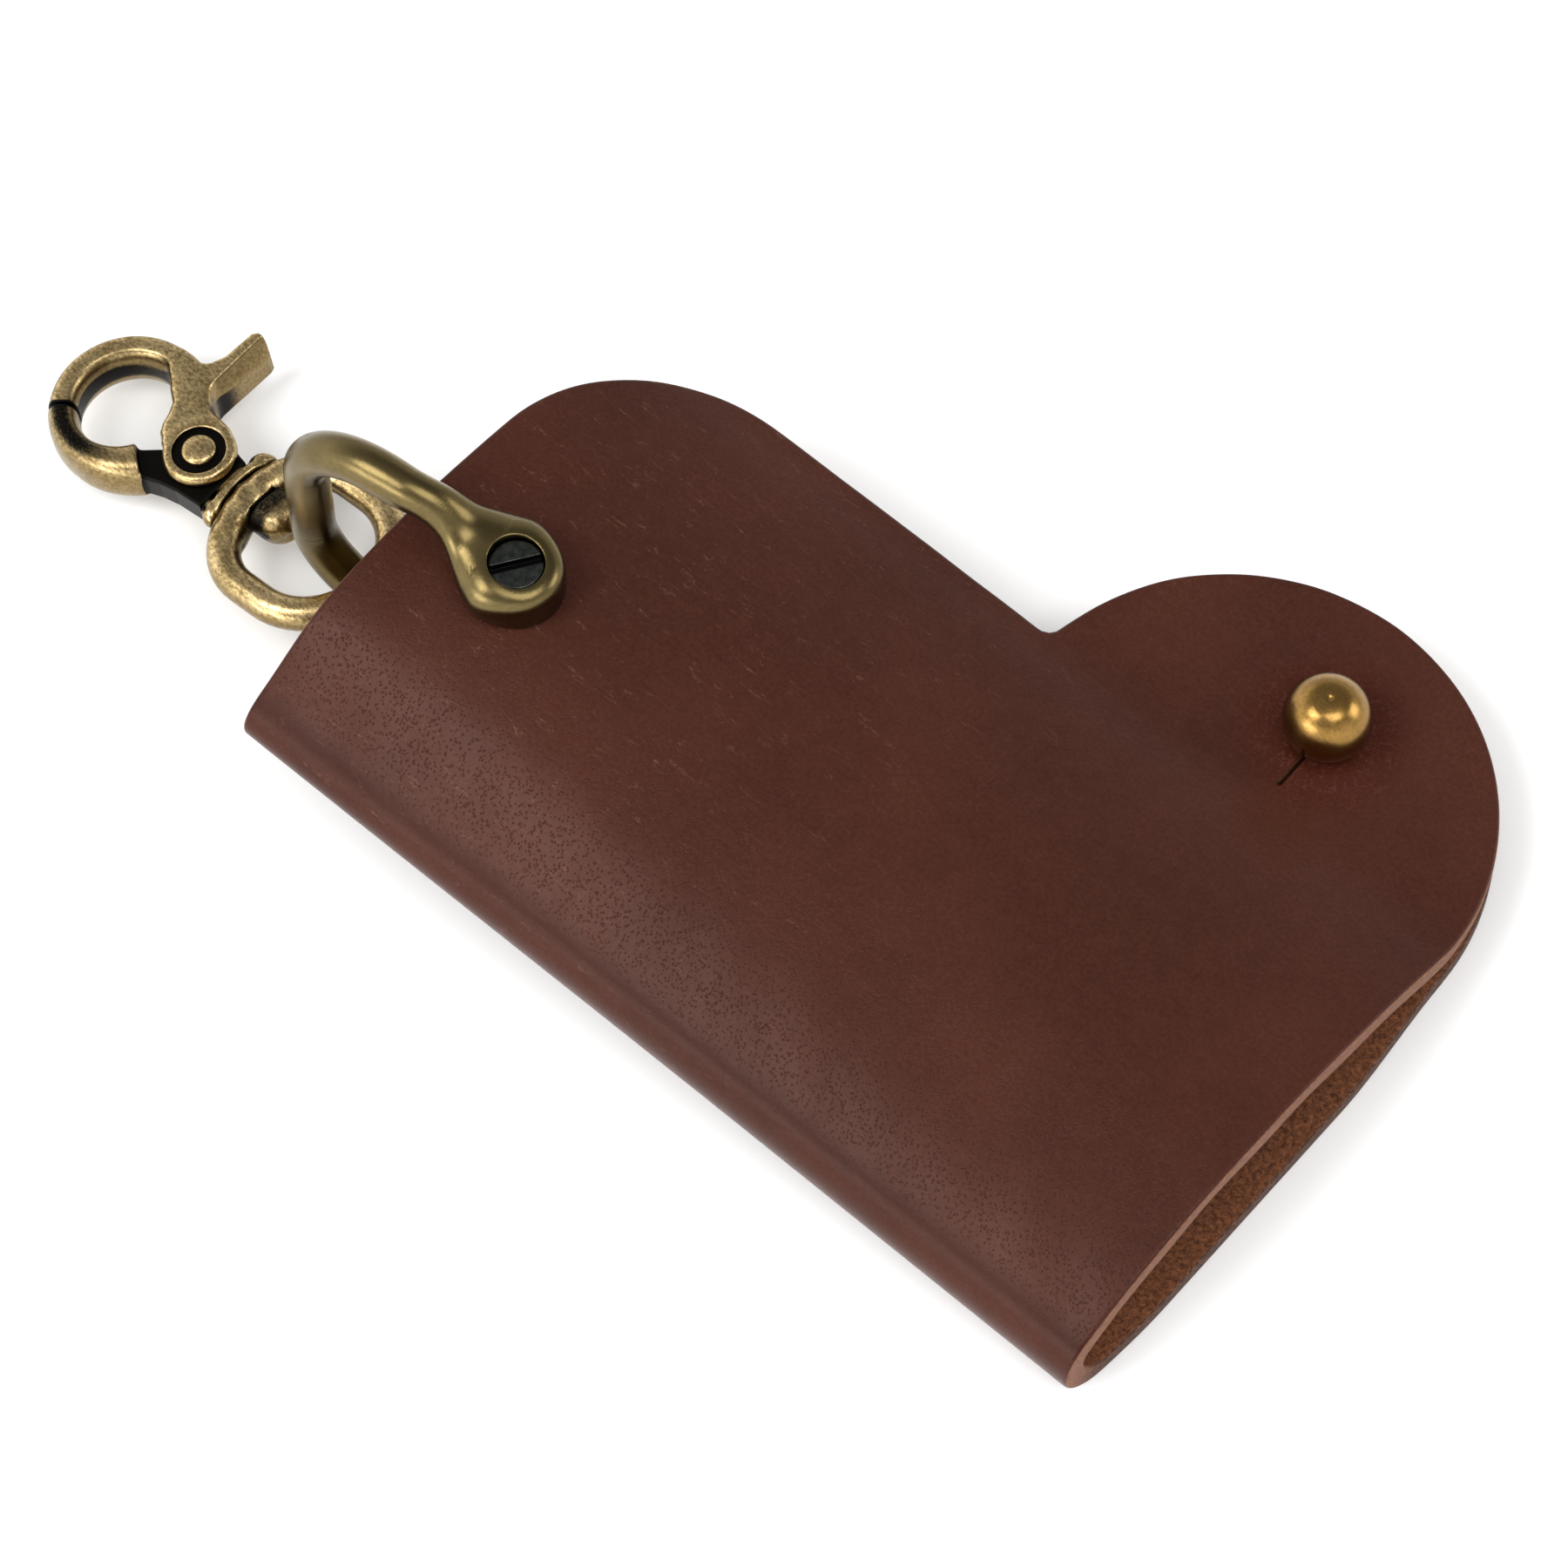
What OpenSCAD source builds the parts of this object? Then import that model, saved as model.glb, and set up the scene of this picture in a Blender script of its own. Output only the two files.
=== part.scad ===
// Folded leather key case with a screw shackle, a swivel ring and a trigger hook.
// One piece of thick leather is folded along a straight spine. The front panel arches over the
// keys and buttons on a ball stud at its round tab. Plan: X runs along the fold toward the open
// end, Y away from the fold, Z up through the panels. Lengths are in millimetres.

/* [Leather] */
// Length of the case along its fold
case_length = 89.6; // [84:0.2:110]
// Distance from the fold to the straight side edge
panel_w = 49.8; // [47:0.2:56]
// Thickness of the leather
leather_t = 2.3; // [2:0.1:2.5]
// Outer radius of the fold
fold_r = 4.3; // [4:0.1:4.8]
// Height of the arched front panel's crown over the outside of the back panel
crown_h = 12; // [11.4:0.1:13.2]
// Distance from the fold to the crown
crown_y = 20; // [18:0.5:24]
// Radius of the corner between the hook end and the side edge
corner_r = 16; // [8:0.5:18]
// Radius of the round tab
tab_r = 21.8; // [19.4:0.2:23]
// Distance from the fold to the tab's centre
tab_y = 48; // [46.8:0.1:49]
// Radius of the inner corner between the side edge and the tab
notch_r = 1.2; // [0.8:0.1:2]
// Free height between the two panels at the tab
tab_gap = 0.8; // [0.7:0.05:1.2]

/* [Flap and buttonhole] */
// Distance from the fold to the line where the front panel flexes open
flex_y = 33; // [30:0.5:35]
// Distance from the open end to the stud
stud_in = 20.4; // [18:0.1:24]
// Distance from the fold to the stud
stud_y = 57.9; // [56:0.1:59]
// Diameter of the buttonhole
hole_d = 4; // [3.8:0.1:4.6]
// Length of the slit, from the stud's centre toward the fold
slit_l = 6.3; // [5:0.1:7]
// Width of the slit
slit_w = 0.4; // [0.3:0.05:0.6]
// Radius of the leather round the buttonhole that stretches over the ball
lip_r = 6; // [5.8:0.1:6.4]

/* [Ball stud] */
// Diameter of the ball
ball_d = 7; // [6.4:0.1:7.2]
// Diameter of the flat on top of the ball
ball_flat_d = 3.4; // [2.4:0.1:4]
// Diameter of the neck under the ball
neck_d = 3.4; // [3.2:0.1:3.6]
// Diameter of the collar that lies on the back panel
collar_d = 5.8; // [5.4:0.1:6.4]
// Thickness of the collar
collar_t = 0.5; // [0.4:0.05:0.6]
// Diameter of the stud's screw under its head
stud_screw_d = 2.4; // [2:0.1:2.6]
// Diameter of the stud screw's head
stud_head_d = 6.6; // [6:0.1:7.4]
// Thickness of the stud screw's head
stud_head_t = 0.9; // [0.7:0.05:1.1]

/* [Shackle] */
// Distance from the hook end of the leather to the shackle's screw
pin_in = 11.8; // [11.4:0.1:12.4]
// Distance from the fold to the shackle's screw
pin_y = 21.8; // [19:0.1:24]
// Reach of the bow from the screw to the middle of its wire
bow_reach = 21.5; // [21.2:0.1:22.4]
// Height of the bow between the middles of its two arms
bow_h = 24.4; // [23.8:0.1:25.2]
// Radius of the bow's corners at the middle of the wire
bow_corner_r = 8; // [7:0.1:9]
// Diameter of the bow's wire
bow_wire_d = 3.9; // [3.6:0.1:4]
// Diameter of the two eyes
eye_d = 8.2; // [7.6:0.1:9]
// Thickness of each eye
eye_t = 4; // [3.6:0.1:4.4]
// Turn of the bow away from the case's length, toward the fold
bow_turn = 8; // [0:1:12]
// Diameter of the shackle screw's shaft
screw_d = 3; // [2.8:0.1:3.2]
// Diameter of the shackle screw's head
screw_head_d = 4.5; // [4.2:0.1:4.8]
// Thickness of the shackle screw's head
screw_head_t = 1.5; // [1.2:0.1:1.6]
// Diameter of the screw's thread and of the neck under its head
thread_d = 2.5; // [2.3:0.05:2.5]

/* [Swivel ring] */
// Diameter of the ring's wire
ring_wire_d = 3; // [2.7:0.1:3.1]
// Radius of the ring's round end at the middle of the wire
ring_r = 6.5; // [6.4:0.05:6.9]
// Radius of the ring's two corners at the middle of the wire
ring_corner_r = 5.2; // [4.5:0.1:5.6]
// Distance from the ring's centre to the middle of its bar
bar_u = 7.65; // [7.5:0.05:8]
// Diameter of the swivel collar in the bar
swivel_d = 4.2; // [3.8:0.1:4.4]
// Angle below level at which the ring crosses the bow's lower corner
hang_angle = 37; // [35:1:39]
// Tilt of the ring and hook toward the table
hook_tilt = 7.5; // [6:0.5:9]

/* [Trigger hook] */
// Distance from the ring's centre to the hook's rivet
rivet_u = 13.8; // [13.7:0.1:14.4]
// Distance from the ring's centre to the middle of the hook's eye
eye_u = 22.5; // [22.3:0.1:23.2]
// Inner radius of the hook's eye
jaw_r = 4.6; // [4.4:0.1:4.8]
// Width of the hook's bar, seen from above
jaw_w = 2.7; // [2.5:0.1:2.9]
// Thickness of the hook
hook_t = 4.8; // [4.6:0.1:5]
// Diameter of the round boss at the rivet
boss_d = 6.6; // [6.2:0.1:6.8]
// Thickness of the tongue between the lever's two cheeks
tongue_t = 2.6; // [2.4:0.1:2.8]
// Diameter of the rivet's shaft
rivet_d = 1.8; // [1.6:0.1:2]
// Diameter of the rivet's heads
rivet_head_d = 3.1; // [2.8:0.1:3.4]
// Diameter of the shank that turns in the ring
shank_d = 1.9; // [1.7:0.1:2.1]
// Diameter of the shank's round head
shank_head_d = 3.8; // [3.4:0.1:4]
// Reach of the thumb tab over the rivet's centre
thumb_reach = 12.3; // [12:0.1:13.4]
// Diameter of the spring's wire
spring_wire_d = 0.35; // [0.3:0.01:0.36]
// Number of turns of the spring
spring_turns = 2.2; // [2:0.1:2.3]

/* [Hidden] */
$fn = 64;

// Clearances and the overrun of cuts
cut = 2;
fit_gap = 0.1;
run_gap = 0.2;
arc_steps = 14;

// Leather section: arcs of the outer surface in the Y-Z plane
tab_h = 2 * leather_t + tab_gap;
arch_a = crown_y - fold_r;
arch_b = crown_h - fold_r;
arch_r = (arch_a ^ 2 + arch_b ^ 2 - fold_r ^ 2) / (2 * (arch_b - fold_r));
tangent_a = atan2(arch_a, arch_r - arch_b);
lip_shift_share = 1 / 3;
flat_y = stud_y - lip_r * 0.6;
slope_a = 2 * atan((crown_h - tab_h) / (flat_y - crown_y));
slope_sum = (flat_y - crown_y) / sin(slope_a);
slope_share = 0.8;
slope_r = slope_sum * slope_share;
sweep_r = slope_sum - slope_r;
leather_end = tab_y + tab_r;

// Places on the leather; X is zero at the middle of the fold
stud_x = case_length / 2 - stud_in;
pin_x = -case_length / 2 + pin_in;
tab_x = case_length / 2 - tab_r;
lip_y = stud_y - lip_r * lip_shift_share;

// Stud heights
ball_z = tab_h + run_gap + ball_d * 0.46;
flat_z = ball_z + sqrt(ball_d ^ 2 - ball_flat_d ^ 2) / 2;

// Shackle: heights are counted from the middle of the gap between its eyes
grip_h = crown_h + 2 * fit_gap;
bow_z = crown_h / 2;
eye_z = (grip_h + eye_t) / 2;
arm_r = bow_reach - bow_corner_r;
arm_z = bow_h / 2;
recess_d = screw_head_d + 4 * fit_gap;
recess_depth = screw_head_t + run_gap;
screw_top = eye_z + eye_t / 2 - run_gap;
screw_l = 2 * eye_z + eye_t - 2 * run_gap;

// The ring hangs on the bow's lower corner, a little off its own centre
ring_off = ring_wire_d * 0.56;
hang_r = arm_r + bow_corner_r * cos(hang_angle);
hang_z = bow_z - arm_z + bow_corner_r - bow_corner_r * sin(hang_angle);
hang_x = pin_x - hang_r * cos(bow_turn);
hang_y = pin_y - hang_r * sin(bow_turn);
ring_x = hang_x - ring_off * cos(hook_tilt);
ring_z = hang_z - ring_off * sin(hook_tilt);

// Hook sizes
jaw_mid_r = jaw_r + jaw_w / 2;
jaw_out_r = jaw_r + jaw_w;
shoulder_u = bar_u + ring_wire_d / 2 + run_gap;
shoulder_t = shank_d / 2;
boss_r = boss_d / 2;
cheek_in = tongue_t / 2 + fit_gap;
recess_h = hook_t / 2 - fit_gap * 4;
split_a = 41;
step_a = 142;

// The part's origin: the middle of its box, at its lowest point
tip_u = eye_u + jaw_out_r;
low_x = ring_x - tip_u * cos(hook_tilt);
low_z = ring_z - (tip_u - jaw_w / 3) * sin(hook_tilt) - hook_t / 2 * cos(hook_tilt);
mid_x = (low_x + case_length / 2) / 2;
mid_y = leather_end / 2;

// Colours
hide = "#4a231b";
antique = "#8a733f";
golden = "#a5823f";
gunmetal = "#3a3833";

// Points on an arc about c from angle a0 to angle a1
function arc(c, r, a0, a1, n = arc_steps) =
    [for (i = [0 : n]) let (a = a0 + (a1 - a0) * i / n) c + r * [cos(a), sin(a)]];

// Unit vector along a path at point i, and the direction to its left
function along(path, i) =
    let (d = path[min(i + 1, len(path) - 1)] - path[max(i - 1, 0)]) d / norm(d);
function left(path, i) = let (d = along(path, i)) [-d[1], d[0]];

// Power that keeps the sign, for a bar's squarer section
function soft(v, e) = sign(v) * abs(v) ^ e;

// Moves to the part's own origin
module placed() {
    translate([-mid_x, -mid_y, -low_z]) children();
}

// Moves to the ring's centre, with the hook lying toward -X and its tip lowered
module on_ring() {
    placed() translate([ring_x, hang_y, ring_z]) rotate([0, -hook_tilt, 0]) children();
}

// A bar of oval section along a flat path; half widths and half heights are lists
module bar(path, half_w, half_h, sides = 16, e = 1) {
    n = len(path);
    points = [for (i = [0 : n - 1]) let (s = left(path, i)) for (k = [0 : sides - 1])
        let (a = 360 * (k + 0.5) / sides, w = half_w[i] * soft(cos(a), e))
        [path[i][0] + s[0] * w, path[i][1] + s[1] * w, half_h[i] * soft(sin(a), e)]];
    walls = [for (i = [0 : n - 2]) for (k = [0 : sides - 1])
        let (p = i * sides + k, q = i * sides + (k + 1) % sides)
        each [[p, p + sides, q + sides], [p, q + sides, q]]];
    last = (n - 1) * sides;
    caps = [for (k = [1 : sides - 2]) each [[0, k, k + 1], [last, last + k + 1, last + k]]];
    polyhedron(points, concat(walls, caps));
}

// Outer surface of the leather from the fold's underside to the tab, sunk by depth d
function skin_line(d) = concat(
    arc([fold_r, fold_r], fold_r - d, 270, 90 + tangent_a, 2 * arc_steps),
    arc([crown_y, crown_h - arch_r], arch_r - d, 90 + tangent_a, 90),
    arc([crown_y, crown_h - slope_r], slope_r - d, 90, 90 - slope_a, 2 * arc_steps),
    arc([flat_y, tab_h + sweep_r], sweep_r + d, 270 - slope_a, 270));

// The folded strip seen from its end: back panel, fold and front panel in one line
module leather_section() {
    end = leather_end + cut;
    outer = skin_line(0);
    inner = skin_line(leather_t);
    polygon(concat([[end, 0]], outer, [[end, tab_h], [end, tab_h - leather_t]],
        [for (i = [len(inner) - 1 : -1 : 0]) inner[i]], [[end, leather_t]]));
}

// The panels' outline seen from above
module outline() {
    half = case_length / 2;
    notch = [tab_x - sqrt((tab_r + notch_r) ^ 2 - (panel_w + notch_r - tab_y) ^ 2),
        panel_w + notch_r];
    overcut_share = 1.03;
    turn = atan2(notch[1] - tab_y, tab_x - notch[0]);
    translate([-half, 0]) square([case_length, panel_w - corner_r]);
    translate([corner_r - half, 0]) square([tab_x - corner_r + half, panel_w]);
    translate([corner_r - half, panel_w - corner_r]) circle(corner_r);
    translate([tab_x, 0]) square([tab_r, tab_y]);
    translate([tab_x, tab_y]) circle(tab_r);
    polygon(concat([[notch[0], tab_y - notch_r], [tab_x, tab_y]],
        arc(notch, notch_r * overcut_share, 360 - turn, 270, 8)));
}

// The whole leather with its outline cut and its holes punched
module leather() {
    difference() {
        intersection() {
            translate([-case_length / 2 - cut, 0]) rotate([90, 0, 90])
                linear_extrude(case_length + 2 * cut) leather_section();
            translate([0, 0, -cut]) linear_extrude(crown_h + 2 * cut) outline();
        }
        translate([pin_x, pin_y, -cut]) cylinder(h = crown_h + 2 * cut, d = screw_d + 4 * fit_gap);
        translate([stud_x, stud_y, -cut]) cylinder(h = leather_t + cut + fit_gap,
            d = neck_d + 2 * fit_gap);
    }
}

// Everything of the front panel past a line at y, with room above and below
module past(y) {
    translate([-case_length, y, leather_t + tab_gap / 2])
        cube([2 * case_length, leather_end, crown_h + cut]);
}

// The zone of leather round the buttonhole
module lip_zone(grow) {
    translate([stud_x, lip_y, leather_t + tab_gap / 2]) cylinder(h = crown_h, r = lip_r + grow);
}

// Back panel, fold and the part of the front panel that stays put
module leather_case() {
    color(hide) placed() difference() {
        leather();
        past(flex_y);
    }
}

// The part of the front panel that lifts, down to the round tab
module front_flap() {
    color(hide) placed() difference() {
        intersection() {
            leather();
            past(flex_y + fit_gap);
        }
        lip_zone(0);
    }
}

// The leather round the stud, with the buttonhole and its slit
module buttonhole() {
    color(hide) placed() difference() {
        intersection() {
            leather();
            lip_zone(-fit_gap);
        }
        translate([stud_x, stud_y, 0]) {
            cylinder(h = crown_h, d = hole_d);
            translate([-slit_w / 2, -slit_l, 0]) cube([slit_w, slit_l, crown_h]);
        }
    }
}

// Ball, neck and collar turned in one piece, with a tapped hole from below
module stud_post() {
    ball_r = ball_d / 2;
    stem_d = neck_d - 2 * fit_gap;
    dimple_r = ball_flat_d / 5;
    low_a = acos(neck_d / ball_d);
    high_a = acos(ball_flat_d / ball_d);
    ball = arc([0, ball_z], ball_r, -low_a, high_a, 3 * arc_steps);
    color(golden) placed() translate([stud_x, stud_y, 0]) difference() {
        rotate_extrude() polygon(concat(
            [[0, run_gap], [stem_d / 2, run_gap], [stem_d / 2, leather_t]],
            [[collar_d / 2, leather_t], [collar_d / 2, leather_t + collar_t]],
            [[neck_d / 2, leather_t + collar_t]], ball,
            [[dimple_r, flat_z], [0, flat_z - dimple_r / 3]]));
        cylinder(h = tab_h, d = stud_screw_d + fit_gap);
    }
}

// Domed screw that holds the stud from behind
module stud_screw() {
    head_r = stud_head_d / 2;
    rim = stud_head_t / 3;
    color(gunmetal) placed() translate([stud_x, stud_y, 0]) difference() {
        rotate_extrude() polygon([[0, -stud_head_t], [head_r * 0.6, -stud_head_t * 0.92],
            [head_r, -rim], [head_r, 0], [stud_screw_d / 2, 0],
            [stud_screw_d / 2, tab_h - 2 * fit_gap], [0, tab_h - 2 * fit_gap]]);
        translate([-slit_w, -head_r - cut, -stud_head_t - cut])
            cube([2 * slit_w, stud_head_d + 2 * cut, cut + rim]);
    }
}

// Moves to the shackle's middle, with the bow lying toward -X
module on_shackle() {
    placed() translate([pin_x, pin_y, bow_z]) rotate([0, 0, bow_turn]) children();
}

// One eye of the shackle, with rounded rims
module shackle_eye() {
    round_r = eye_t * 0.38;
    side_r = eye_d / 2 - round_r;
    rotate_extrude() polygon(concat([[0, -eye_t / 2]],
        arc([side_r, round_r - eye_t / 2], round_r, -90, 0),
        arc([side_r, eye_t / 2 - round_r], round_r, 0, 90), [[0, eye_t / 2]]));
}

// Bow of round wire that thins to a neck and joins the two eyes
module shackle() {
    wire_r = bow_wire_d / 2;
    // Neck: places along the arm and sizes of the wire there
    place_shares = [0.12, 0.24, 0.36, 0.5, 0.63, 0.77, 0.9];
    rise_shares = [0, 0.06, 0.3, 0.68, 0.9, 0.99, 1];
    width_shares = [1.85, 1.38, 0.98, 0.77, 0.82, 0.92, 0.98];
    depth_shares = [0.92, 0.84, 0.78, 0.8, 0.88, 0.95, 1];
    arm = [for (i = [0 : len(place_shares) - 1])
        [-arm_r * place_shares[i], eye_z + (arm_z - eye_z) * rise_shares[i]]];
    corner = arc([-arm_r, arm_z - bow_corner_r], bow_corner_r, 90, 180, 12);
    half = concat(arm, corner);
    path = concat(half, [for (i = [len(half) - 1 : -1 : 0]) [half[i][0], -half[i][1]]]);
    deep = concat(depth_shares, [for (p = corner) 1]);
    wide = concat(width_shares, [for (p = corner) 1]);
    depths = wire_r * concat(deep, [for (i = [len(deep) - 1 : -1 : 0]) deep[i]]);
    widths = wire_r * concat(wide, [for (i = [len(wide) - 1 : -1 : 0]) wide[i]]);
    color(antique) on_shackle() difference() {
        union() {
            rotate([90, 0, 0]) bar(path, depths, widths);
            translate([0, 0, eye_z]) shackle_eye();
            translate([0, 0, -eye_z]) shackle_eye();
        }
        translate([0, 0, -grip_h]) cylinder(h = 2 * grip_h, d = screw_d + fit_gap);
        translate([0, 0, eye_z + eye_t / 2 - recess_depth]) cylinder(h = cut, d = recess_d);
    }
}

// Slotted screw through both eyes; keys hang on its plain stretch between the panels
module shackle_screw() {
    post_low = leather_t + fit_gap * 3 - bow_z;
    post_high = bow_z - leather_t - 7 * fit_gap;
    slot_turn = 48;
    slot_w = screw_head_d / 8;
    slot_depth = screw_head_t * 0.4;
    bevel = screw_head_t / 5;
    color(gunmetal) on_shackle() difference() {
        rotate_extrude() polygon([[0, screw_top - screw_l],
            [thread_d / 2 - bevel, screw_top - screw_l], [thread_d / 2, screw_top - screw_l + bevel],
            [thread_d / 2, post_low], [screw_d / 2, post_low], [screw_d / 2, post_high],
            [thread_d / 2, post_high], [thread_d / 2, screw_top - screw_head_t],
            [screw_head_d / 2, screw_top - screw_head_t],
            [screw_head_d / 2, screw_top - bevel], [screw_head_d / 2 - bevel, screw_top],
            [0, screw_top]]);
        rotate([0, 0, slot_turn]) translate([-screw_head_d, -slot_w / 2, screw_top - slot_depth])
            cube([2 * screw_head_d, slot_w, cut]);
    }
}

// A part of a ring of round wire, from angle a0 to a1
module wire_arc(r, d, a0, a1) {
    rotate([0, 0, a0]) rotate_extrude(angle = a1 - a0) translate([r, 0]) circle(d = d);
}

// D-shaped ring with a thick bar, whose collar holds the hook's shank
module swivel_ring() {
    corner_u = bar_u - ring_corner_r;
    corner_v = ring_r - ring_corner_r;
    // Worn band over the straight side: places along it, its lean round the corners and its size
    band_shares = [-0.9, -0.75, -0.55, -0.35, -0.15, 0.15, 0.35, 0.55, 0.75, 0.9];
    band = [for (v = band_shares) [ring_corner_r * 0.42 * v ^ 2 - bar_u, ring_r * v]];
    band_w = [for (v = band_shares) ring_wire_d / 2 * (1 - 0.24 * abs(v) ^ 3)];
    color(antique) on_ring() difference() {
        union() {
            wire_arc(ring_r, ring_wire_d, -90, 90);
            for (s = [-1, 1]) {
                translate([-corner_u, s * ring_r, 0]) rotate([0, 90, 0])
                    cylinder(h = corner_u, d = ring_wire_d);
                translate([-corner_u, s * corner_v, 0]) {
                    wire_arc(ring_corner_r, ring_wire_d, s > 0 ? 90 : 180, s > 0 ? 180 : 270);
                }
            }
            translate([-bar_u, -corner_v, 0]) rotate([-90, 0, 0])
                cylinder(h = 2 * corner_v, d = ring_wire_d);
            bar(band, band_w, 1.2 * band_w);
            translate([-bar_u - ring_wire_d / 2, 0, 0]) rotate([0, 90, 0])
                cylinder(h = ring_wire_d, d = swivel_d);
        }
        translate([-bar_u - cut, 0, 0]) rotate([0, 90, 0])
            cylinder(h = 2 * cut, d = shank_d + 2 * fit_gap);
    }
}

// A point of the hook at angle a and distance r from the middle of its eye
function jaw(r, a) = [-eye_u - r * cos(a), r * sin(a)];

// Lower jaw: a bar from the split round the bottom, widening to a square step
module lower_jaw() {
    steps = 22;
    angles = [for (i = [0 : steps]) -split_a - 1 - (step_a - split_a - 1) * i / steps];
    grow = [for (a = angles) max(0, (-a - 90) / (step_a - 90)) * jaw_w * 0.24];
    path = [for (a = angles) jaw(jaw_mid_r, a)];
    ends = [for (i = [0 : steps]) i == 0 || i == steps ? 0.88 : 1];
    bar(path, [for (i = [0 : steps]) ends[i] * (jaw_w / 2 + grow[i])],
        hook_t / 2 * ends, 20, 0.75);
}

// Tongue between the lever's cheeks, from the lower jaw to the shoulder
module tongue() {
    step_in = jaw(jaw_r, -step_a + 8);
    step_out = jaw(jaw_out_r, -step_a + 10);
    translate([0, 0, -tongue_t / 2]) linear_extrude(tongue_t) {
        translate([-rivet_u, 0]) circle(boss_r - fit_gap * 3);
        polygon([step_in, step_out, [-rivet_u - boss_r * 0.76, -boss_r * 1.42],
            [-rivet_u - boss_r * 0.3, -boss_r * 1.27], [-rivet_u + boss_r * 0.2, -boss_r * 1.18],
            [-shoulder_u - shoulder_t, -boss_r * 1.14], [-shoulder_u - shoulder_t, boss_r * 0.6],
            [-rivet_u, boss_r * 0.85], [-rivet_u - boss_r * 0.8, -boss_r * 0.3]]);
    }
}

// Shoulder, shank and the peened head that turn in the ring's collar
module shank() {
    shoulder_r = tongue_t / 2;
    shoulder_v = boss_r - shoulder_r;
    knob_l = shoulder_t * 1.7;
    head_u = bar_u - ring_wire_d / 2 - run_gap;
    head_l = shank_head_d * 0.3;
    translate([-shoulder_u - shoulder_t, 0, 0]) rotate([90, 0, 90]) linear_extrude(shoulder_t) {
        square([2 * shoulder_v, 2 * shoulder_r], center = true);
        for (s = [-1, 1]) translate([s * shoulder_v, 0]) circle(shoulder_r);
    }
    for (s = [-1, 1]) translate([-shoulder_u - knob_l, s * boss_r, 0]) rotate([0, 90, 0])
        cylinder(h = knob_l, r = tongue_t * 0.42);
    translate([-shoulder_u, 0, 0]) rotate([0, 90, 0])
        cylinder(h = shoulder_u - head_u + fit_gap, d = shank_d);
    translate([-head_u, 0, 0]) rotate([0, 90, 0]) rotate_extrude() polygon(concat(
        [[0, 0], [shank_head_d / 2, 0]],
        [for (a = [0 : 10 : 90]) [shank_head_d / 2 * cos(a), head_l * (1 + sin(a))]]));
}

// Fixed half of the hook
module hook_frame() {
    pocket_d = boss_d * 2 / 3;
    floor_t = tongue_t * 0.15;
    color(antique) on_ring() difference() {
        union() {
            lower_jaw();
            tongue();
            shank();
        }
        translate([-rivet_u, 0, -cut]) cylinder(h = 2 * cut, d = rivet_d + 2 * fit_gap);
        translate([-rivet_u, 0, floor_t - tongue_t / 2]) cylinder(h = tongue_t, d = pocket_d);
    }
}

// Rivet with a domed head at each face
module pivot_rivet() {
    head_r = rivet_head_d / 2;
    head_h = rivet_head_d * 0.24;
    dome = [for (a = [0 : 15 : 90]) [head_r * cos(a), recess_h + head_h * sin(a)]];
    under = [for (i = [len(dome) - 1 : -1 : 0]) [dome[i][0], -dome[i][1]]];
    color(antique) on_ring() translate([-rivet_u, 0, 0]) rotate_extrude()
        polygon(concat(under, [[rivet_d / 2, -recess_h], [rivet_d / 2, recess_h]], dome));
}

// Torsion spring round the rivet, one unbroken wire
module trigger_spring() {
    coil_r = boss_d / 2 * 0.52;
    pitch = spring_wire_d * 2.3;
    sides = 6;
    per_turn = 20;
    steps = round(spring_turns * per_turn);
    low = -pitch * spring_turns / 2 + spring_wire_d / 2;
    wire_r = spring_wire_d / 2;
    points = [for (i = [0 : steps]) let (a = 360 * i / per_turn, z = low + pitch * i / per_turn)
        for (k = [0 : sides - 1]) let (b = 360 * k / sides)
        [(coil_r + wire_r * cos(b)) * cos(a), (coil_r + wire_r * cos(b)) * sin(a),
            z + wire_r * sin(b)]];
    walls = [for (i = [0 : steps - 1]) for (k = [0 : sides - 1])
        let (p = i * sides + k, q = i * sides + (k + 1) % sides)
        each [[p, q + sides, p + sides], [p, q, q + sides]]];
    last = steps * sides;
    caps = [for (k = [1 : sides - 2]) each [[0, k + 1, k], [last, last + k, last + k + 1]]];
    // Least gap between one turn and the next, over the points of the wire's middle
    gap = min([for (i = [0 : steps - per_turn]) for (j = [i + per_turn * 3 / 4 : steps])
        let (a = 360 * (j - i) / per_turn, h = pitch * (j - i) / per_turn)
        norm([coil_r * (1 - cos(a)), coil_r * sin(a), h])]) - spring_wire_d;
    echo(least_spring_gap = gap);
    color(gunmetal) on_ring() translate([-rivet_u, 0, 0]) polyhedron(points, concat(walls, caps));
}

// Outline of the lever's neck and thumb tab, which join the upper jaw to the boss
module lever_plate() {
    r = boss_r;
    u = -rivet_u;
    top = thumb_reach;
    polygon([jaw(jaw_mid_r, 92), jaw(jaw_r * 0.97, 100), jaw(jaw_r * 0.78, 125),
        jaw(jaw_r * 0.73, 160), jaw(jaw_r * 0.84, 190), [u - r, -r * 0.36], [u - r * 0.2, -r * 0.2],
        [u + r * 0.1, r * 0.97], [u - r * 0.42, r * 1.16], [u - r * 1.03, r * 1.28],
        [u - r * 1.27, r * 1.68], [u - r * 1.1, top - r * 0.2], [u - r * 1.16, top - r * 0.06],
        [u - r * 1.28, top], [u - r * 1.5, top], [u - r * 1.62, top - r * 0.15],
        [u - r * 1.65, r * 2.6], [u - r * 1.78, r * 2.24], [u - r * 2, r * 2.1],
        jaw(jaw_out_r, 100), jaw(jaw_out_r, 92)]);
}

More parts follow.
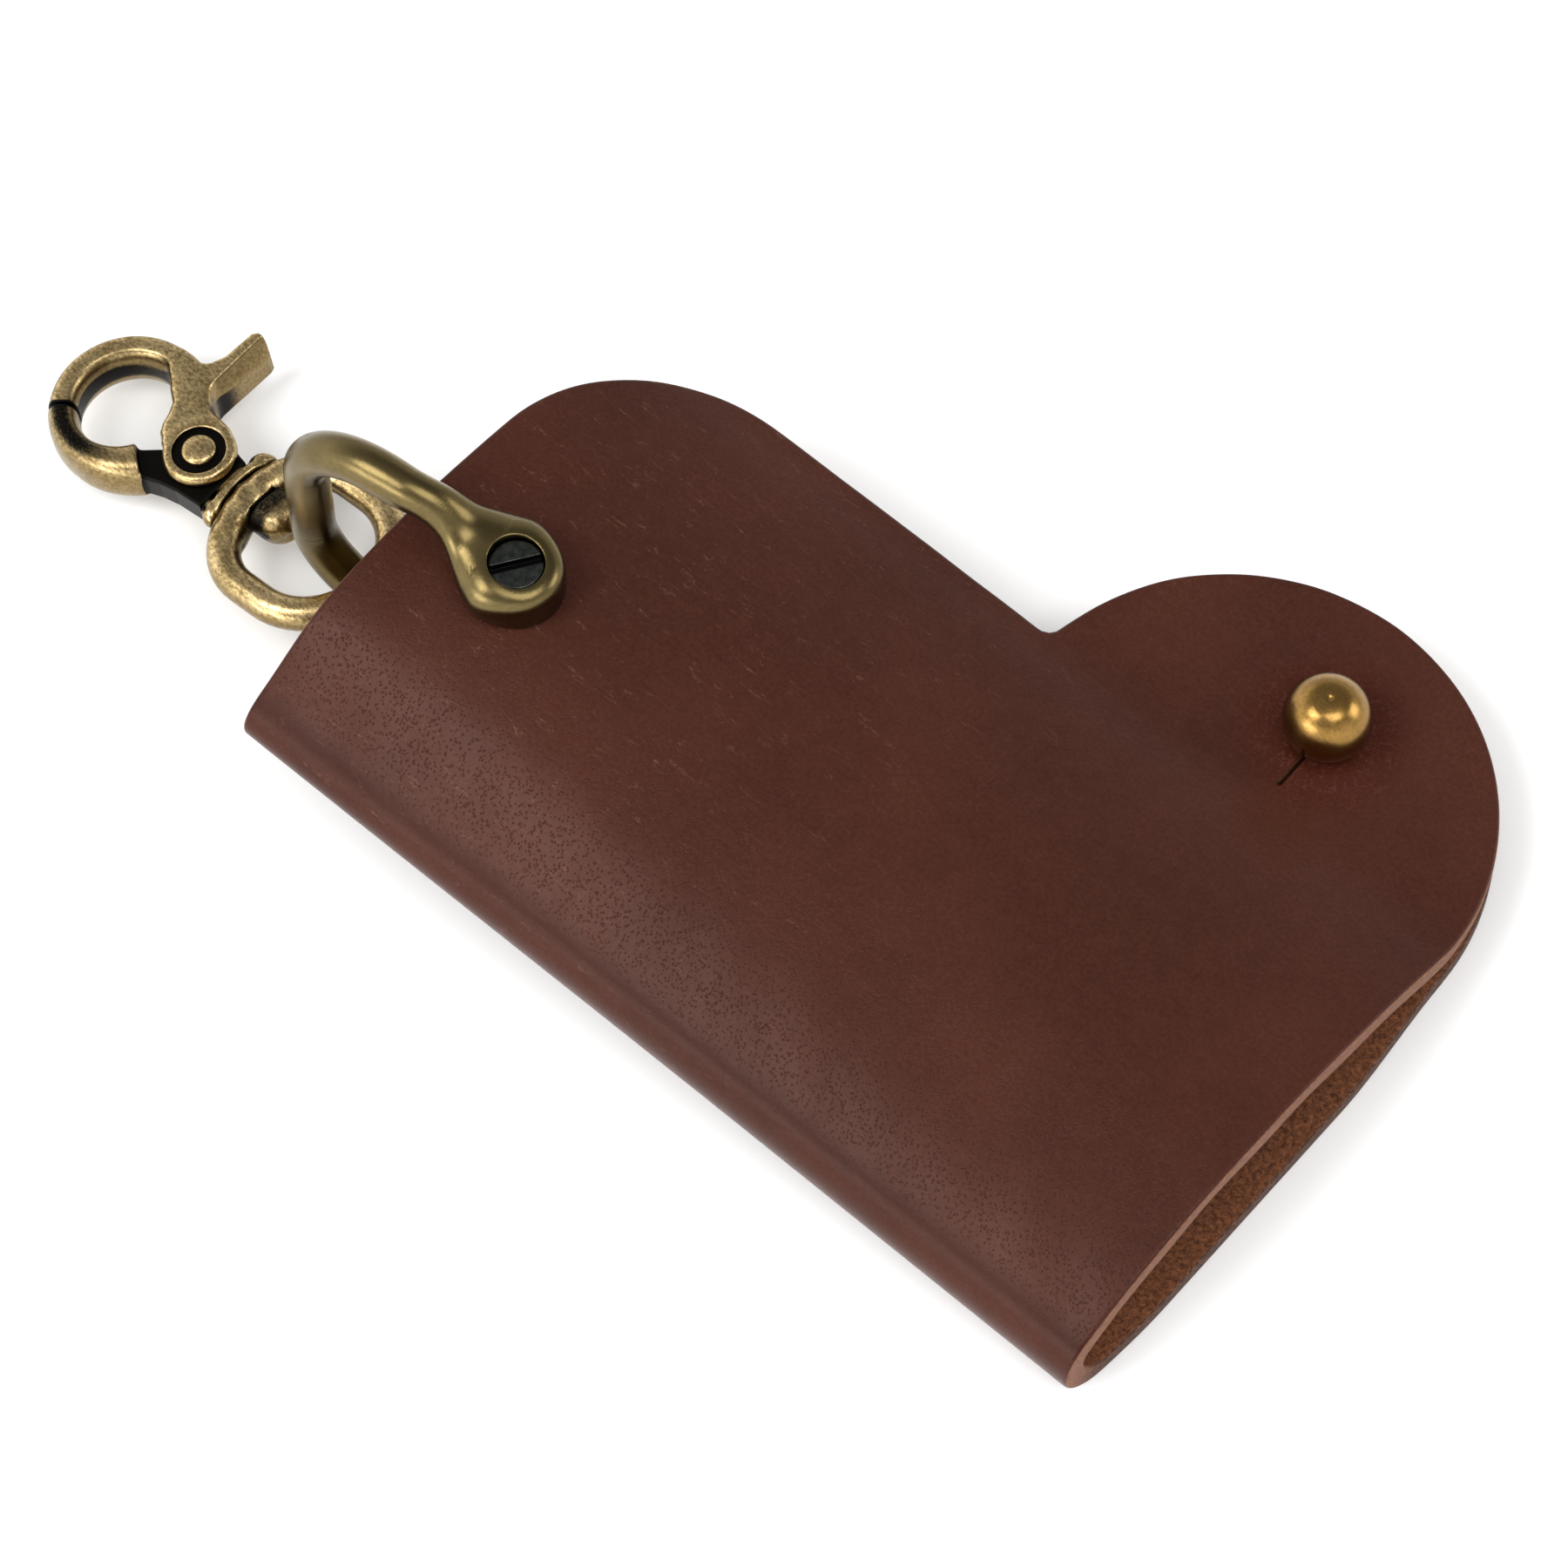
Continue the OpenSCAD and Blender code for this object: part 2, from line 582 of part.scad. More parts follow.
// Upper jaw, neck, thumb tab and the two cheeks that straddle the tongue
module trigger_lever() {
    steps = 30;
    first_a = 1 - split_a;
    last_a = 150;
    angles = [for (i = [0 : steps]) first_a + (last_a - first_a) * i / steps];
    ends = [for (i = [0 : steps]) i == 0 || i == steps ? 0.88 : 1];
    edge = hook_t * 0.12;
    plate_h = hook_t - 2 * edge;
    slot_r = boss_r + 2 * run_gap;
    color(antique) on_ring() difference() {
        union() {
            bar([for (a = angles) jaw(jaw_mid_r, a)], jaw_w / 2 * ends, hook_t / 2 * ends,
                20, 0.75);
            translate([0, 0, -plate_h / 2]) linear_extrude(plate_h) lever_plate();
            translate([-rivet_u, 0, 0]) rotate_extrude() polygon([[0, -hook_t / 2],
                [boss_r - edge, -hook_t / 2], [boss_r, edge - hook_t / 2],
                [boss_r, hook_t / 2 - edge], [boss_r - edge, hook_t / 2], [0, hook_t / 2]]);
        }
        translate([-rivet_u, 0, -cheek_in]) cylinder(h = 2 * cheek_in, r = slot_r);
        translate([-rivet_u, 0, -hook_t]) cylinder(h = 2 * hook_t, d = rivet_d + 2 * fit_gap);
        for (s = [-1, 1]) translate([-rivet_u, 0, s * (recess_h + cut / 2)])
            cylinder(h = cut, d = boss_d * 0.7, center = true);
    }
}

leather_case();
front_flap();
buttonhole();
stud_post();
stud_screw();
shackle();
shackle_screw();
swivel_ring();
hook_frame();
pivot_rivet();
trigger_spring();
trigger_lever();
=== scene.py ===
# %% [markdown]
# # A folded leather key case, rendered piece by piece
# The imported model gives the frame: every CAD node at its real place. Each cell below adds one
# part of the look. Lengths in the tables are millimetres in the leather's own frame (X along the
# fold, Y away from the fold, Z up), because whole millimetres are easier to read than metres, and
# `part()` turns them into metres in the part's frame.

# %% Load the frame
import math
import bpy
import numpy as np
from mathutils import Matrix, Vector
from mathutils.geometry import delaunay_2d_cdt


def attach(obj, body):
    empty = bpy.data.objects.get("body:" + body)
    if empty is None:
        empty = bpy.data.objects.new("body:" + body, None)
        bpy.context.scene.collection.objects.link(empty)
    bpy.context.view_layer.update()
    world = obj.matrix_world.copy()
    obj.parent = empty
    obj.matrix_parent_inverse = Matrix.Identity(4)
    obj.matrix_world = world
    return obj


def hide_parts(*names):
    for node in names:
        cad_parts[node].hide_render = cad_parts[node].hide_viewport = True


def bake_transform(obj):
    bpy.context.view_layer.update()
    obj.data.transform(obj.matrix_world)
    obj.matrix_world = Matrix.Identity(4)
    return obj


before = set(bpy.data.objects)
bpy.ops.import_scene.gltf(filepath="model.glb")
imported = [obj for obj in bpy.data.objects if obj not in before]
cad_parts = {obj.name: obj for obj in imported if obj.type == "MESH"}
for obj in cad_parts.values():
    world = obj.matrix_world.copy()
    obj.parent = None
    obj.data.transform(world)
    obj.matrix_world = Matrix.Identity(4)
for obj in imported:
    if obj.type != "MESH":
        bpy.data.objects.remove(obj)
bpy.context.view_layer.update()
scene = bpy.context.scene
ORIGIN = np.array([19.5531, -34.9, 9.3855])  # the leather frame's zero in the part's frame, mm


def part(points):
    """Leather-frame millimetres to part-frame metres: add the origin's offset, divide by 1000."""
    return (np.asarray(points, float) + ORIGIN) * 0.001


def unit(v):
    """Vectors scaled to length one."""
    return v / np.maximum(np.linalg.norm(v, axis=-1, keepdims=True), 1e-12)


def new_piece(name, points, faces, materials, index=None, normals=None):
    """A smooth-shaded mesh object from arrays of points in metres and faces of equal size."""
    mesh = bpy.data.meshes.new(name)
    mesh.from_pydata(points.tolist(), [], faces.tolist())
    for material in materials:
        mesh.materials.append(material)
    if index is not None:
        mesh.polygons.foreach_set("material_index", index.astype(np.int32))
    mesh.polygons.foreach_set("use_smooth", np.ones(len(faces), dtype=bool))
    mesh.update()
    if normals is not None:
        mesh.normals_split_custom_set_from_vertices(normals.tolist())
    piece = bpy.data.objects.new(name, mesh)
    scene.collection.objects.link(piece)
    return piece


def add_values(piece, name, values):
    """Stores a number or a vector for each vertex, for the materials to read."""
    kind, field = ("FLOAT", "value") if values.ndim == 1 else ("FLOAT_VECTOR", "vector")
    attribute = piece.data.attributes.new(name, kind, "POINT")
    attribute.data.foreach_set(field, values.astype(np.float32).ravel())


# %% [markdown]
# ## Camera
# The case is seen from azimuth 41 and elevation 64. A constraint could aim the camera at it, but
# working out its three axes from the two angles states the view exactly. The half-width of the
# view is 0.12 of the distance.

# %% Camera
CAMERA_AZIMUTH, CAMERA_ELEVATION = math.radians(41), math.radians(64)
back = np.array([math.sin(CAMERA_AZIMUTH) * math.cos(CAMERA_ELEVATION),
                 -math.cos(CAMERA_AZIMUTH) * math.cos(CAMERA_ELEVATION),
                 math.sin(CAMERA_ELEVATION)])
right = unit(np.cross([0, 0, 1.0], back))
up = np.cross(back, right)
camera = bpy.data.objects.new("camera", bpy.data.cameras.new("camera"))
HALF_VIEW = 0.12
camera.data.angle = 2 * math.atan(HALF_VIEW)
camera.data.clip_start, camera.data.clip_end = 0.05, 20
camera.location = (0.168632, -0.18893, 0.501033)
camera.rotation_euler = Matrix([list(v) for v in np.stack([right, up, back], 1)]).to_euler()
scene.collection.objects.link(camera)
scene.camera = camera
scene.view_settings.view_transform = "Standard"
print("camera looks along", [round(float(-v), 3) for v in back])

# %% [markdown]
# ## Shader helpers
# Every finish below is worked out from noise and cell textures over a position, stretched and mixed
# into colour, roughness and bump. It could be wired by hand in the node editor; functions that each
# add one node and return its socket let a finish be read as a formula.


# %% Shader helpers
def nodes_of(material):
    """The material's node tree emptied, with a shader wired to its output."""
    material.use_nodes = True
    tree = material.node_tree
    tree.nodes.clear()
    shader = tree.nodes.new("ShaderNodeBsdfPrincipled")
    output = tree.nodes.new("ShaderNodeOutputMaterial")
    tree.links.new(shader.outputs[0], output.inputs["Surface"])
    return tree, shader


def link(tree, source, target):
    """Joins one socket to another."""
    tree.links.new(source, target)


def noise(tree, coord, scale, detail=4.0, rough=0.55, distort=0.0):
    """A noise texture's factor at a scale, over a coordinate socket."""
    node = tree.nodes.new("ShaderNodeTexNoise")
    node.inputs["Scale"].default_value = scale
    node.inputs["Detail"].default_value = detail
    node.inputs["Roughness"].default_value = rough
    node.inputs["Distortion"].default_value = distort
    link(tree, coord, node.inputs["Vector"])
    return node.outputs[0]


def cells(tree, coord, scale):
    """Distance to the nearest of many scattered points, over a coordinate socket."""
    node = tree.nodes.new("ShaderNodeTexVoronoi")
    node.inputs["Scale"].default_value = scale
    link(tree, coord, node.inputs["Vector"])
    return node.outputs["Distance"]


def remap(tree, value, low, high, to_low=0.0, to_high=1.0, curve="SMOOTHSTEP"):
    """A value carried from one range to another and held at its ends, by a smooth step or
    another curve."""
    node = tree.nodes.new("ShaderNodeMapRange")
    node.interpolation_type = curve
    link(tree, value, node.inputs["Value"])
    for socket, number in zip(node.inputs[1:5], (low, high, to_low, to_high)):
        socket.default_value = number
    return node.outputs[0]


def maths(tree, kind, a, b):
    """One arithmetic step; a and b are sockets or numbers."""
    node = tree.nodes.new("ShaderNodeMath")
    node.operation = kind
    for socket, value in zip(node.inputs, (a, b)):
        if isinstance(value, (int, float)):
            socket.default_value = value
        else:
            link(tree, value, socket)
    return node.outputs[0]


def times(tree, a, b):
    """The product of two sockets or numbers."""
    return maths(tree, "MULTIPLY", a, b)


def off_by(tree, value, middle):
    """How far a value lies from a middle one, on either side."""
    return maths(tree, "ABSOLUTE", maths(tree, "SUBTRACT", value, middle), 0.0)


def mix(tree, factor, a, b, kind="MIX"):
    """Two colours mixed; each is a socket or an RGB triple."""
    node = tree.nodes.new("ShaderNodeMix")
    node.data_type, node.blend_type = "RGBA", kind
    for socket, value in zip((node.inputs["Factor"], *node.inputs[6:8]), (factor, a, b)):
        if isinstance(value, (int, float)):
            socket.default_value = value
        elif isinstance(value, tuple):
            socket.default_value = (*value, 1)
        else:
            link(tree, value, socket)
    return node.outputs[2]


def bumped(tree, shader, height, depth, strength, before=None):
    """A bump of a depth in metres on the shader's normal, over an earlier one if there is one;
    returns the bumped normal."""
    node = tree.nodes.new("ShaderNodeBump")
    node.inputs["Strength"].default_value = strength
    node.inputs["Distance"].default_value = depth
    link(tree, height, node.inputs["Height"])
    if before is not None:
        link(tree, before, node.inputs["Normal"])
    link(tree, node.outputs[0], shader.inputs["Normal"])
    return node.outputs[0]


def split(tree, vector):
    """The three components of a vector socket."""
    node = tree.nodes.new("ShaderNodeSeparateXYZ")
    link(tree, vector, node.inputs[0])
    return node.outputs


def stored(tree, name, output="Fac"):
    """What the vertices hold under a name: a number ("Fac") or a vector ("Vector")."""
    node = tree.nodes.new("ShaderNodeAttribute")
    node.attribute_name = name
    return node.outputs[output]


def place_on(tree, name, scale=(1, 1, 1), turn=0.0):
    """A position stored on the vertices, turned about the third axis by degrees and stretched."""
    mapping = tree.nodes.new("ShaderNodeMapping")
    mapping.inputs["Scale"].default_value = scale
    mapping.inputs["Rotation"].default_value = (0, 0, math.radians(turn))
    link(tree, stored(tree, name, "Vector"), mapping.inputs["Vector"])
    return mapping.outputs[0]


print("shader helpers are ready")

# %% [markdown]
# ## Floor and lights
# The case lies on white paper in soft daylight. It rests on the leather's open end and the lower
# arm of the shackle, so the floor is tilted a little against the leather: it rises by 0.091 mm for
# each millimetre toward the open end. Four large lamps and a pale sky, brighter near the horizon,
# give soft shadows and long highlights on the metal, where a sun lamp would draw hard edges.

# %% Floor and lights
FLOOR_SLOPE, FLOOR_HALF = 0.0907, 4.0
FLOOR_X, FLOOR_Z = 0.0643531, 0.0093355  # metres: 0.05 mm below the open end's lowest edge


def floor_z(x):
    """Height of the tilted floor at a place along the fold, in metres."""
    return FLOOR_Z + FLOOR_SLOPE * (x - FLOOR_X)


floor_mesh = bpy.data.meshes.new("floor")
corners = [(x * FLOOR_HALF, y * FLOOR_HALF) for x, y in ((-1, -1), (1, -1), (1, 1), (-1, 1))]
floor_mesh.from_pydata([(x, y, floor_z(x)) for x, y in corners], [], [(0, 1, 2, 3)])
floor = bpy.data.objects.new("floor", floor_mesh)
scene.collection.objects.link(floor)
floor_paint = bpy.data.materials.new("floor_paint")
tree, shader = nodes_of(floor_paint)
shader.inputs["Base Color"].default_value = (0.98, 0.98, 0.975, 1)
shader.inputs["Roughness"].default_value = 0.8
shader.inputs["Specular IOR Level"].default_value = 0.2
floor_mesh.materials.append(floor_paint)


def area_light(name, place, size, power):
    """A soft rectangular lamp at a place, turned to the part's origin; metres and watts."""
    lamp = bpy.data.lights.new(name, "AREA")
    lamp.shape = "RECTANGLE"
    lamp.size, lamp.size_y = size
    lamp.energy = power
    light = bpy.data.objects.new(name, lamp)
    light.location = place
    light.rotation_euler = (-Vector(place)).to_track_quat("-Z", "Y").to_euler()
    scene.collection.objects.link(light)


area_light("window", (-0.33, -0.59, 0.90), (0.5, 0.5), 5.5)
area_light("overhead", (0.35, -0.05, 0.90), (0.5, 0.5), 3.2)
area_light("low_front", (-0.15, -0.9, 0.35), (0.6, 0.3), 2.5)
area_light("side", (0.75, 0.75, 0.55), (0.5, 0.5), 3.0)
world = bpy.data.worlds.new("world")
scene.world = world
world.use_nodes = True
tree = world.node_tree
background = tree.nodes["Background"]
direction = tree.nodes.new("ShaderNodeTexCoord")
_, toward, height = split(tree, direction.outputs["Generated"])
low_sky = remap(tree, height, 0.25, 0.75, 1.7, 0.6)
near_sky = remap(tree, toward, -0.1, 0.6, 1.0, 0.5, "LINEAR")
link(tree, times(tree, low_sky, near_sky), background.inputs["Strength"])
background.inputs[0].default_value = (1, 1, 1, 1)
print("floor slope", FLOOR_SLOPE, "and", len(bpy.data.lights), "lamps")

# %% [markdown]
# ## The leather sheet
# The case is one thick sheet of leather, folded once. A flat mesh could be bent by a modifier, but
# that would stretch it, so the sheet is drawn flat in two coordinates that keep their length: x
# along the fold, and t, the distance along the outer skin measured from the fold (minus toward the
# back panel's edge). `section()` bends t into the folded shape: straight back panel, round fold,
# arch over the keys, slope down to the tab. Depth d goes from the grain side (0) to the flesh side
# (2.3 mm).

# %% Section of the folded sheet
THICK, FOLD_R, CROWN_H, CROWN_Y = 2.3, 4.3, 12.0, 20.0
TAB_H, STUD, PIN = 5.4, (24.4, 57.9), (-33.0, 21.8)  # PIN is the shackle screw's place
ARCH_A, ARCH_B = CROWN_Y - FOLD_R, CROWN_H - FOLD_R
ARCH_R = (ARCH_A ** 2 + ARCH_B ** 2 - FOLD_R ** 2) / (2 * (ARCH_B - FOLD_R))
TANGENT = math.degrees(math.atan2(ARCH_A, ARCH_R - ARCH_B))
FLAT_Y = STUD[1] - 3.6
SLOPE = 2 * math.degrees(math.atan((CROWN_H - TAB_H) / (FLAT_Y - CROWN_Y)))
SLOPE_SUM = (FLAT_Y - CROWN_Y) / math.sin(math.radians(SLOPE))


def arc(centre, radius, start, end, count=60):
    """Points on an arc from one angle to another, in degrees."""
    a = np.radians(np.linspace(start, end, count))
    return np.stack([centre[0] + radius * np.cos(a), centre[1] + radius * np.sin(a)], 1)


line = np.concatenate([
    [[80, 0]], arc((FOLD_R, FOLD_R), FOLD_R, 270, 90 + TANGENT),
    arc((CROWN_Y, CROWN_H - ARCH_R), ARCH_R, 90 + TANGENT, 90),
    arc((CROWN_Y, CROWN_H - SLOPE_SUM * 0.8), SLOPE_SUM * 0.8, 90, 90 - SLOPE),
    arc((FLAT_Y, TAB_H + SLOPE_SUM * 0.2), SLOPE_SUM * 0.2, 270 - SLOPE, 270), [[80, TAB_H]]])
steps = np.linalg.norm(np.diff(line, axis=0), axis=1)
line, steps = line[np.r_[True, steps > 1e-9]], steps[steps > 1e-9]
along = np.concatenate([[0], np.cumsum(steps)])
along -= along[np.argmin(line[:, 0])]


def section(t):
    """Y and Z of the outer skin at distance t along the section."""
    return np.interp(t, along, line[:, 0]), np.interp(t, along, line[:, 1])


front_half, back_half = along >= 0, along <= 0


def distance_at(y, front):
    """Distance t on the front or the back panel at a plan distance y from the fold."""
    if front:
        return np.interp(y, line[front_half, 0], along[front_half])
    return np.interp(y, line[back_half, 0][::-1], along[back_half][::-1])


PRESS, PRESS_REACH = 0.27, 7.0  # share by which the fold is flattened, distance it fades over
BACK_REACH, WAVE_H = 1.0, 0.02
STUD_RIM_H, STUD_RIM_R, STUD_RIM_W = 0.22, 3.6, 1.7
rng = np.random.default_rng(7)
WAVES = rng.normal(size=(10, 2)) * 0.42
WAVE_PHASE = rng.uniform(0, 6.28, 10)


def smooth(x, low, high):
    """0 below low, 1 above high, and a smooth step between."""
    s = np.clip((x - low) / (high - low), 0, 1)
    return s * s * (3 - 2 * s)


def skin(x, t):
    """The outer skin in millimetres: the section, and what wear adds to it. Toward the hook end
    the fold is pressed flatter, the back panel reaches 1 mm past the front at the open end, a sum
    of ten sines makes slow waves a few hundredths high, and a low rim stands round the stud."""
    y, z = section(t)
    hook_end = 1 - smooth(x, -45, 12)
    z = z * (1 - hook_end * PRESS * np.exp(-(y / PRESS_REACH) ** 2) * (z > 0.05))
    x = x + BACK_REACH * smooth(x, 0, 45) * smooth(-t, -3, 14) * (1 - smooth(y, 34, 50))
    wave = np.sin(np.tensordot(np.stack([x, t], -1), WAVES, (-1, 1)) + WAVE_PHASE).sum(-1)
    r = np.hypot(x - STUD[0], y - STUD[1])
    calm = smooth(r, 5, 12) * smooth(np.hypot(x - PIN[0], y - PIN[1]), 5, 9)
    z = z + WAVE_H * wave * calm * (t > 0)
    front = smooth(t, 40, 50)
    z = z + front * STUD_RIM_H * np.exp(-((r - STUD_RIM_R) / STUD_RIM_W) ** 2)
    return np.stack([x, y, z], -1)


def sheet(x, t, d):
    """A point d millimetres under the skin, along the skin's normal."""
    e = 0.05
    n = unit(np.cross(skin(x + e, t) - skin(x - e, t), skin(x, t + e) - skin(x, t - e)))
    return skin(x, t) - n * d[..., None]


print("section from t", *(round(float(end), 1) for end in along[[0, -1]]), "mm")

# %% [markdown]
# ## Outline and mesh of the sheet
# The same outline is cut from both panels: a rounded corner at the hook end, a straight side, a
# small inner corner and the round tab. It could be a curve object, but as arrays of points it can
# be carried to the sheet's coordinates and inset for the rounded cut edge. Four holes are punched:
# the buttonhole, two for the shackle screw, and one for the stud's screw.

# %% Outline and holes
L, W, CORNER, TAB_R, TAB_Y, NOTCH_R = 44.8, 49.8, 16.0, 21.8, 48.0, 1.2
TAB_X = L - TAB_R
NOTCH = (TAB_X - math.sqrt((TAB_R + NOTCH_R) ** 2 - (W + NOTCH_R - TAB_Y) ** 2), W + NOTCH_R)
TURN = math.degrees(math.atan2(NOTCH[1] - TAB_Y, TAB_X - NOTCH[0]))


def resample(points, step, closed=False):
    """Points spaced evenly by about one step along a line."""
    if closed:
        points = np.vstack([points, points[:1]])
    lengths = np.concatenate([[0], np.cumsum(np.linalg.norm(np.diff(points, axis=0), axis=1))])
    count = max(2, int(round(lengths[-1] / step)))
    s = np.linspace(0, lengths[-1], count + 1)
    s = s[:-1] if closed else s
    return np.stack([np.interp(s, lengths, points[:, k]) for k in (0, 1)], 1)


plan = np.concatenate([
    [[-L, 0]], arc((CORNER - L, W - CORNER), CORNER, 180, 90), arc(NOTCH, NOTCH_R, 270, 360 - TURN),
    arc((TAB_X, TAB_Y), TAB_R, 180 - TURN, 0, 200), [[L, 0]]])
plan = resample(plan, 0.25)
front_edge = np.stack([plan[:, 0], distance_at(plan[:, 1], True)], 1)
back_edge = np.stack([plan[:, 0], distance_at(plan[:, 1], False)], 1)[::-1]
outline = resample(np.concatenate([front_edge, back_edge[1:-1]]), 0.6, closed=True)


def keyhole():
    """Buttonhole: a round hole with a slit toward the fold, pointed at its end."""
    radius, half, end = 2.0, 0.2, 6.3
    a = math.degrees(math.asin(half / radius))
    hole = arc((0, 0), radius, -90 + a, 270 - a, 40)
    slit = np.array([[-half, -end * f] for f in np.linspace(0.36, 0.97, 12)] + [[0, -end]]
                    + [[half, -end * f] for f in np.linspace(0.97, 0.36, 12)])
    return np.concatenate([hole, slit])


def on_panel(points, front):
    """Plan points moved to sheet coordinates."""
    return np.stack([points[:, 0], distance_at(points[:, 1], front)], 1)


PUNCH_R = 1.7
circle = arc((0, 0), PUNCH_R, 0, 360, 33)[:-1]
holes = [on_panel(keyhole() + STUD, True), on_panel(circle + PIN, True),
         on_panel(circle + PIN, False), on_panel(circle * 1.06 + STUD, False)]


def turning(loop):
    """1 for a loop that runs counterclockwise, -1 for clockwise: the sign of its area."""
    x, y = loop.T
    return np.sign(np.sum(x * np.roll(y, -1) - y * np.roll(x, -1)))


def inset(loop, amount, inner):
    """The loop moved square to itself into the leather: inward for the outline, outward for a
    hole."""
    tangent = unit(np.roll(loop, -1, 0) - np.roll(loop, 1, 0))
    normal = np.stack([-tangent[:, 1], tangent[:, 0]], 1)
    return loop + normal * amount * turning(loop) * (-1 if inner else 1)


print("outline of", len(outline), "points and", len(holes), "holes")

# %% [markdown]
# ## Triangles of the flat sheet
# A grid cut by a boolean would leave ragged triangles along the edge. Instead the space between the
# inset rings is filled with evenly spread points, finer round the stud, and a constrained Delaunay
# triangulation joins them, with every ring and the parting line of the front panel kept as edges.

# %% Points and triangles
RIM = np.array([  # the cut edge's section: inset from the outline, depth under the skin
    (0.42, 0), (0.24, 0.03), (0.1, 0.13), (0.02, 0.3), (0, 0.6), (0, 1.2), (0, 1.8), (0.03, 2.12),
    (0.15, 2.28), (0.42, 2.3)])
SPLIT_Y = 14.0  # the lifting part of the front panel starts here
split_t = float(distance_at(SPLIT_Y, True))
ends = [int(np.argmin(np.linalg.norm(outline - (side, split_t), axis=1))) for side in (-L, L)]
outline[ends, 1] = split_t
loops = [(outline, False, 1.0), (holes[0], True, 0.28)] + [(hole, True, 0.6) for hole in holes[1:]]
cut_x = np.linspace(-L + RIM[0, 0], L - RIM[0, 0], 116)[1:-1]
cut_line = np.stack([cut_x, np.full(len(cut_x), split_t)], 1)


def hexagons(low, high, step):
    """Points of a triangle lattice over a box."""
    rows = np.arange(low[1], high[1], step * math.sqrt(0.75))
    cols = np.arange(low[0], high[0], step)
    grid = np.stack(np.meshgrid(cols, rows), -1)
    grid[1::2, :, 0] += step / 2
    return grid.reshape(-1, 2)


def within(points, loop):
    """Which points lie inside a closed loop: a ray from them crosses it an odd number of times."""
    a, b = loop, np.roll(loop, -1, 0)
    crossings = np.zeros(len(points), int)
    for k in range(0, len(loop), 60):
        (ax, ay), (bx, by) = a[k:k + 60].T, b[k:k + 60].T
        px, py = points[:, :1], points[:, 1:]
        spans = (ay > py) != (by > py)
        meets = ax + (py - ay) * (bx - ax) / np.where(by == ay, 1e-9, by - ay)
        crossings += (spans & (px < meets)).sum(1)
    return crossings % 2 == 1


def clear_of(points, loop, gap):
    """Which points lie further than the gap from every point of a loop."""
    near = np.full(len(points), np.inf)
    for chunk in np.array_split(loop, max(1, len(loop) // 60)):
        near = np.minimum(near, np.linalg.norm(points[:, None] - chunk[None], axis=2).min(1))
    return near > gap


COARSE_STEP, FINE_STEP, FINE_R = 0.78, 0.3, 9
stud_flat = np.array([STUD[0], float(distance_at(STUD[1], True))])
coarse = hexagons((-L, outline[:, 1].min()), (L, outline[:, 1].max()), COARSE_STEP)
coarse = coarse[np.linalg.norm(coarse - stud_flat, axis=1) > FINE_R]
fine = hexagons(stud_flat - FINE_R, stud_flat + FINE_R, FINE_STEP)
fine = fine[np.linalg.norm(fine - stud_flat, axis=1) < FINE_R - 0.2]
inside = np.concatenate([coarse, fine])
inside = inside[np.abs(inside[:, 1] - split_t) > 0.35]
rings = [inset(loop, RIM[0, 0] * share, inner) for loop, inner, share in loops]
inside = inside[within(inside, rings[0])]
for ring in rings[1:]:
    inside = inside[~within(inside, ring)]
for ring, gap in zip(rings, (0.4, 0.16, 0.25, 0.25, 0.25)):
    inside = inside[clear_of(inside, ring, gap)]
flat = np.concatenate(rings + [cut_line, inside])
edges, start, ring_ids = [], 0, []
for ring in rings:
    k = np.arange(len(ring)) + start
    ring_ids.append(k)
    edges += np.stack([k, np.roll(k, -1)], 1).tolist()
    start += len(ring)
chain = [ends[0]] + list(range(start, start + len(cut_line))) + [ends[1]]
edges += list(zip(chain[:-1], chain[1:]))
made = delaunay_2d_cdt([Vector(p) for p in flat.tolist()], edges, [], 0, 1e-5, True)
verts2 = np.array([tuple(v) for v in made[0]])
triangles = np.array(made[2], dtype=int)
middles = verts2[triangles].mean(1)
keep = within(middles, rings[0])
for ring in rings[1:]:
    keep &= ~within(middles, ring)
triangles = triangles[keep]
where = np.full(len(flat), -1)
for new, olds in enumerate(made[3]):
    where[olds] = new
print("flat sheet:", len(verts2), "points,", len(triangles), "triangles")

# %% [markdown]
# ## From flat sheet to leather
# The grain side and the flesh side are the same flat mesh at two depths. A strip of quads along
# each loop joins them and rounds the cut edge. A Solidify modifier would do this too, but not with
# a section as soft as worn leather has, and the finishes need each point's flat place and depth.

# %% Rounded edges and folding
GRAIN, EDGE, FLESH = 0, 1, 2  # the order of the three finishes


def rim_strip(loop, inner, share, ids, first_new):
    """The rounded cut edge along one loop: new points for its middle rings, its faces, and each
    face's level on the rim from the grain side."""
    n = len(loop)
    middle = [np.column_stack([inset(loop, off * share, inner), np.full(n, depth)])
              for off, depth in RIM[1:-1]]
    rows = [where[ids]] + [first_new + k * n + np.arange(n) for k in range(len(middle))]
    rows = np.array(rows + [where[ids] + len(verts2)])
    a, b = rows[:-1], rows[1:]
    c, e = np.roll(b, -1, 1), np.roll(a, -1, 1)
    quads = np.stack([a, b, c, e], -1)
    quads = quads[..., ::-1] if (turning(loop) < 0) != inner else quads
    level = np.repeat(np.arange(len(RIM) - 1), n)
    quads = quads.reshape(-1, 4)
    both = np.stack([quads[:, [0, 1, 2]], quads[:, [0, 2, 3]]], 1).reshape(-1, 3)
    return np.concatenate(middle), both, np.repeat(level, 2)


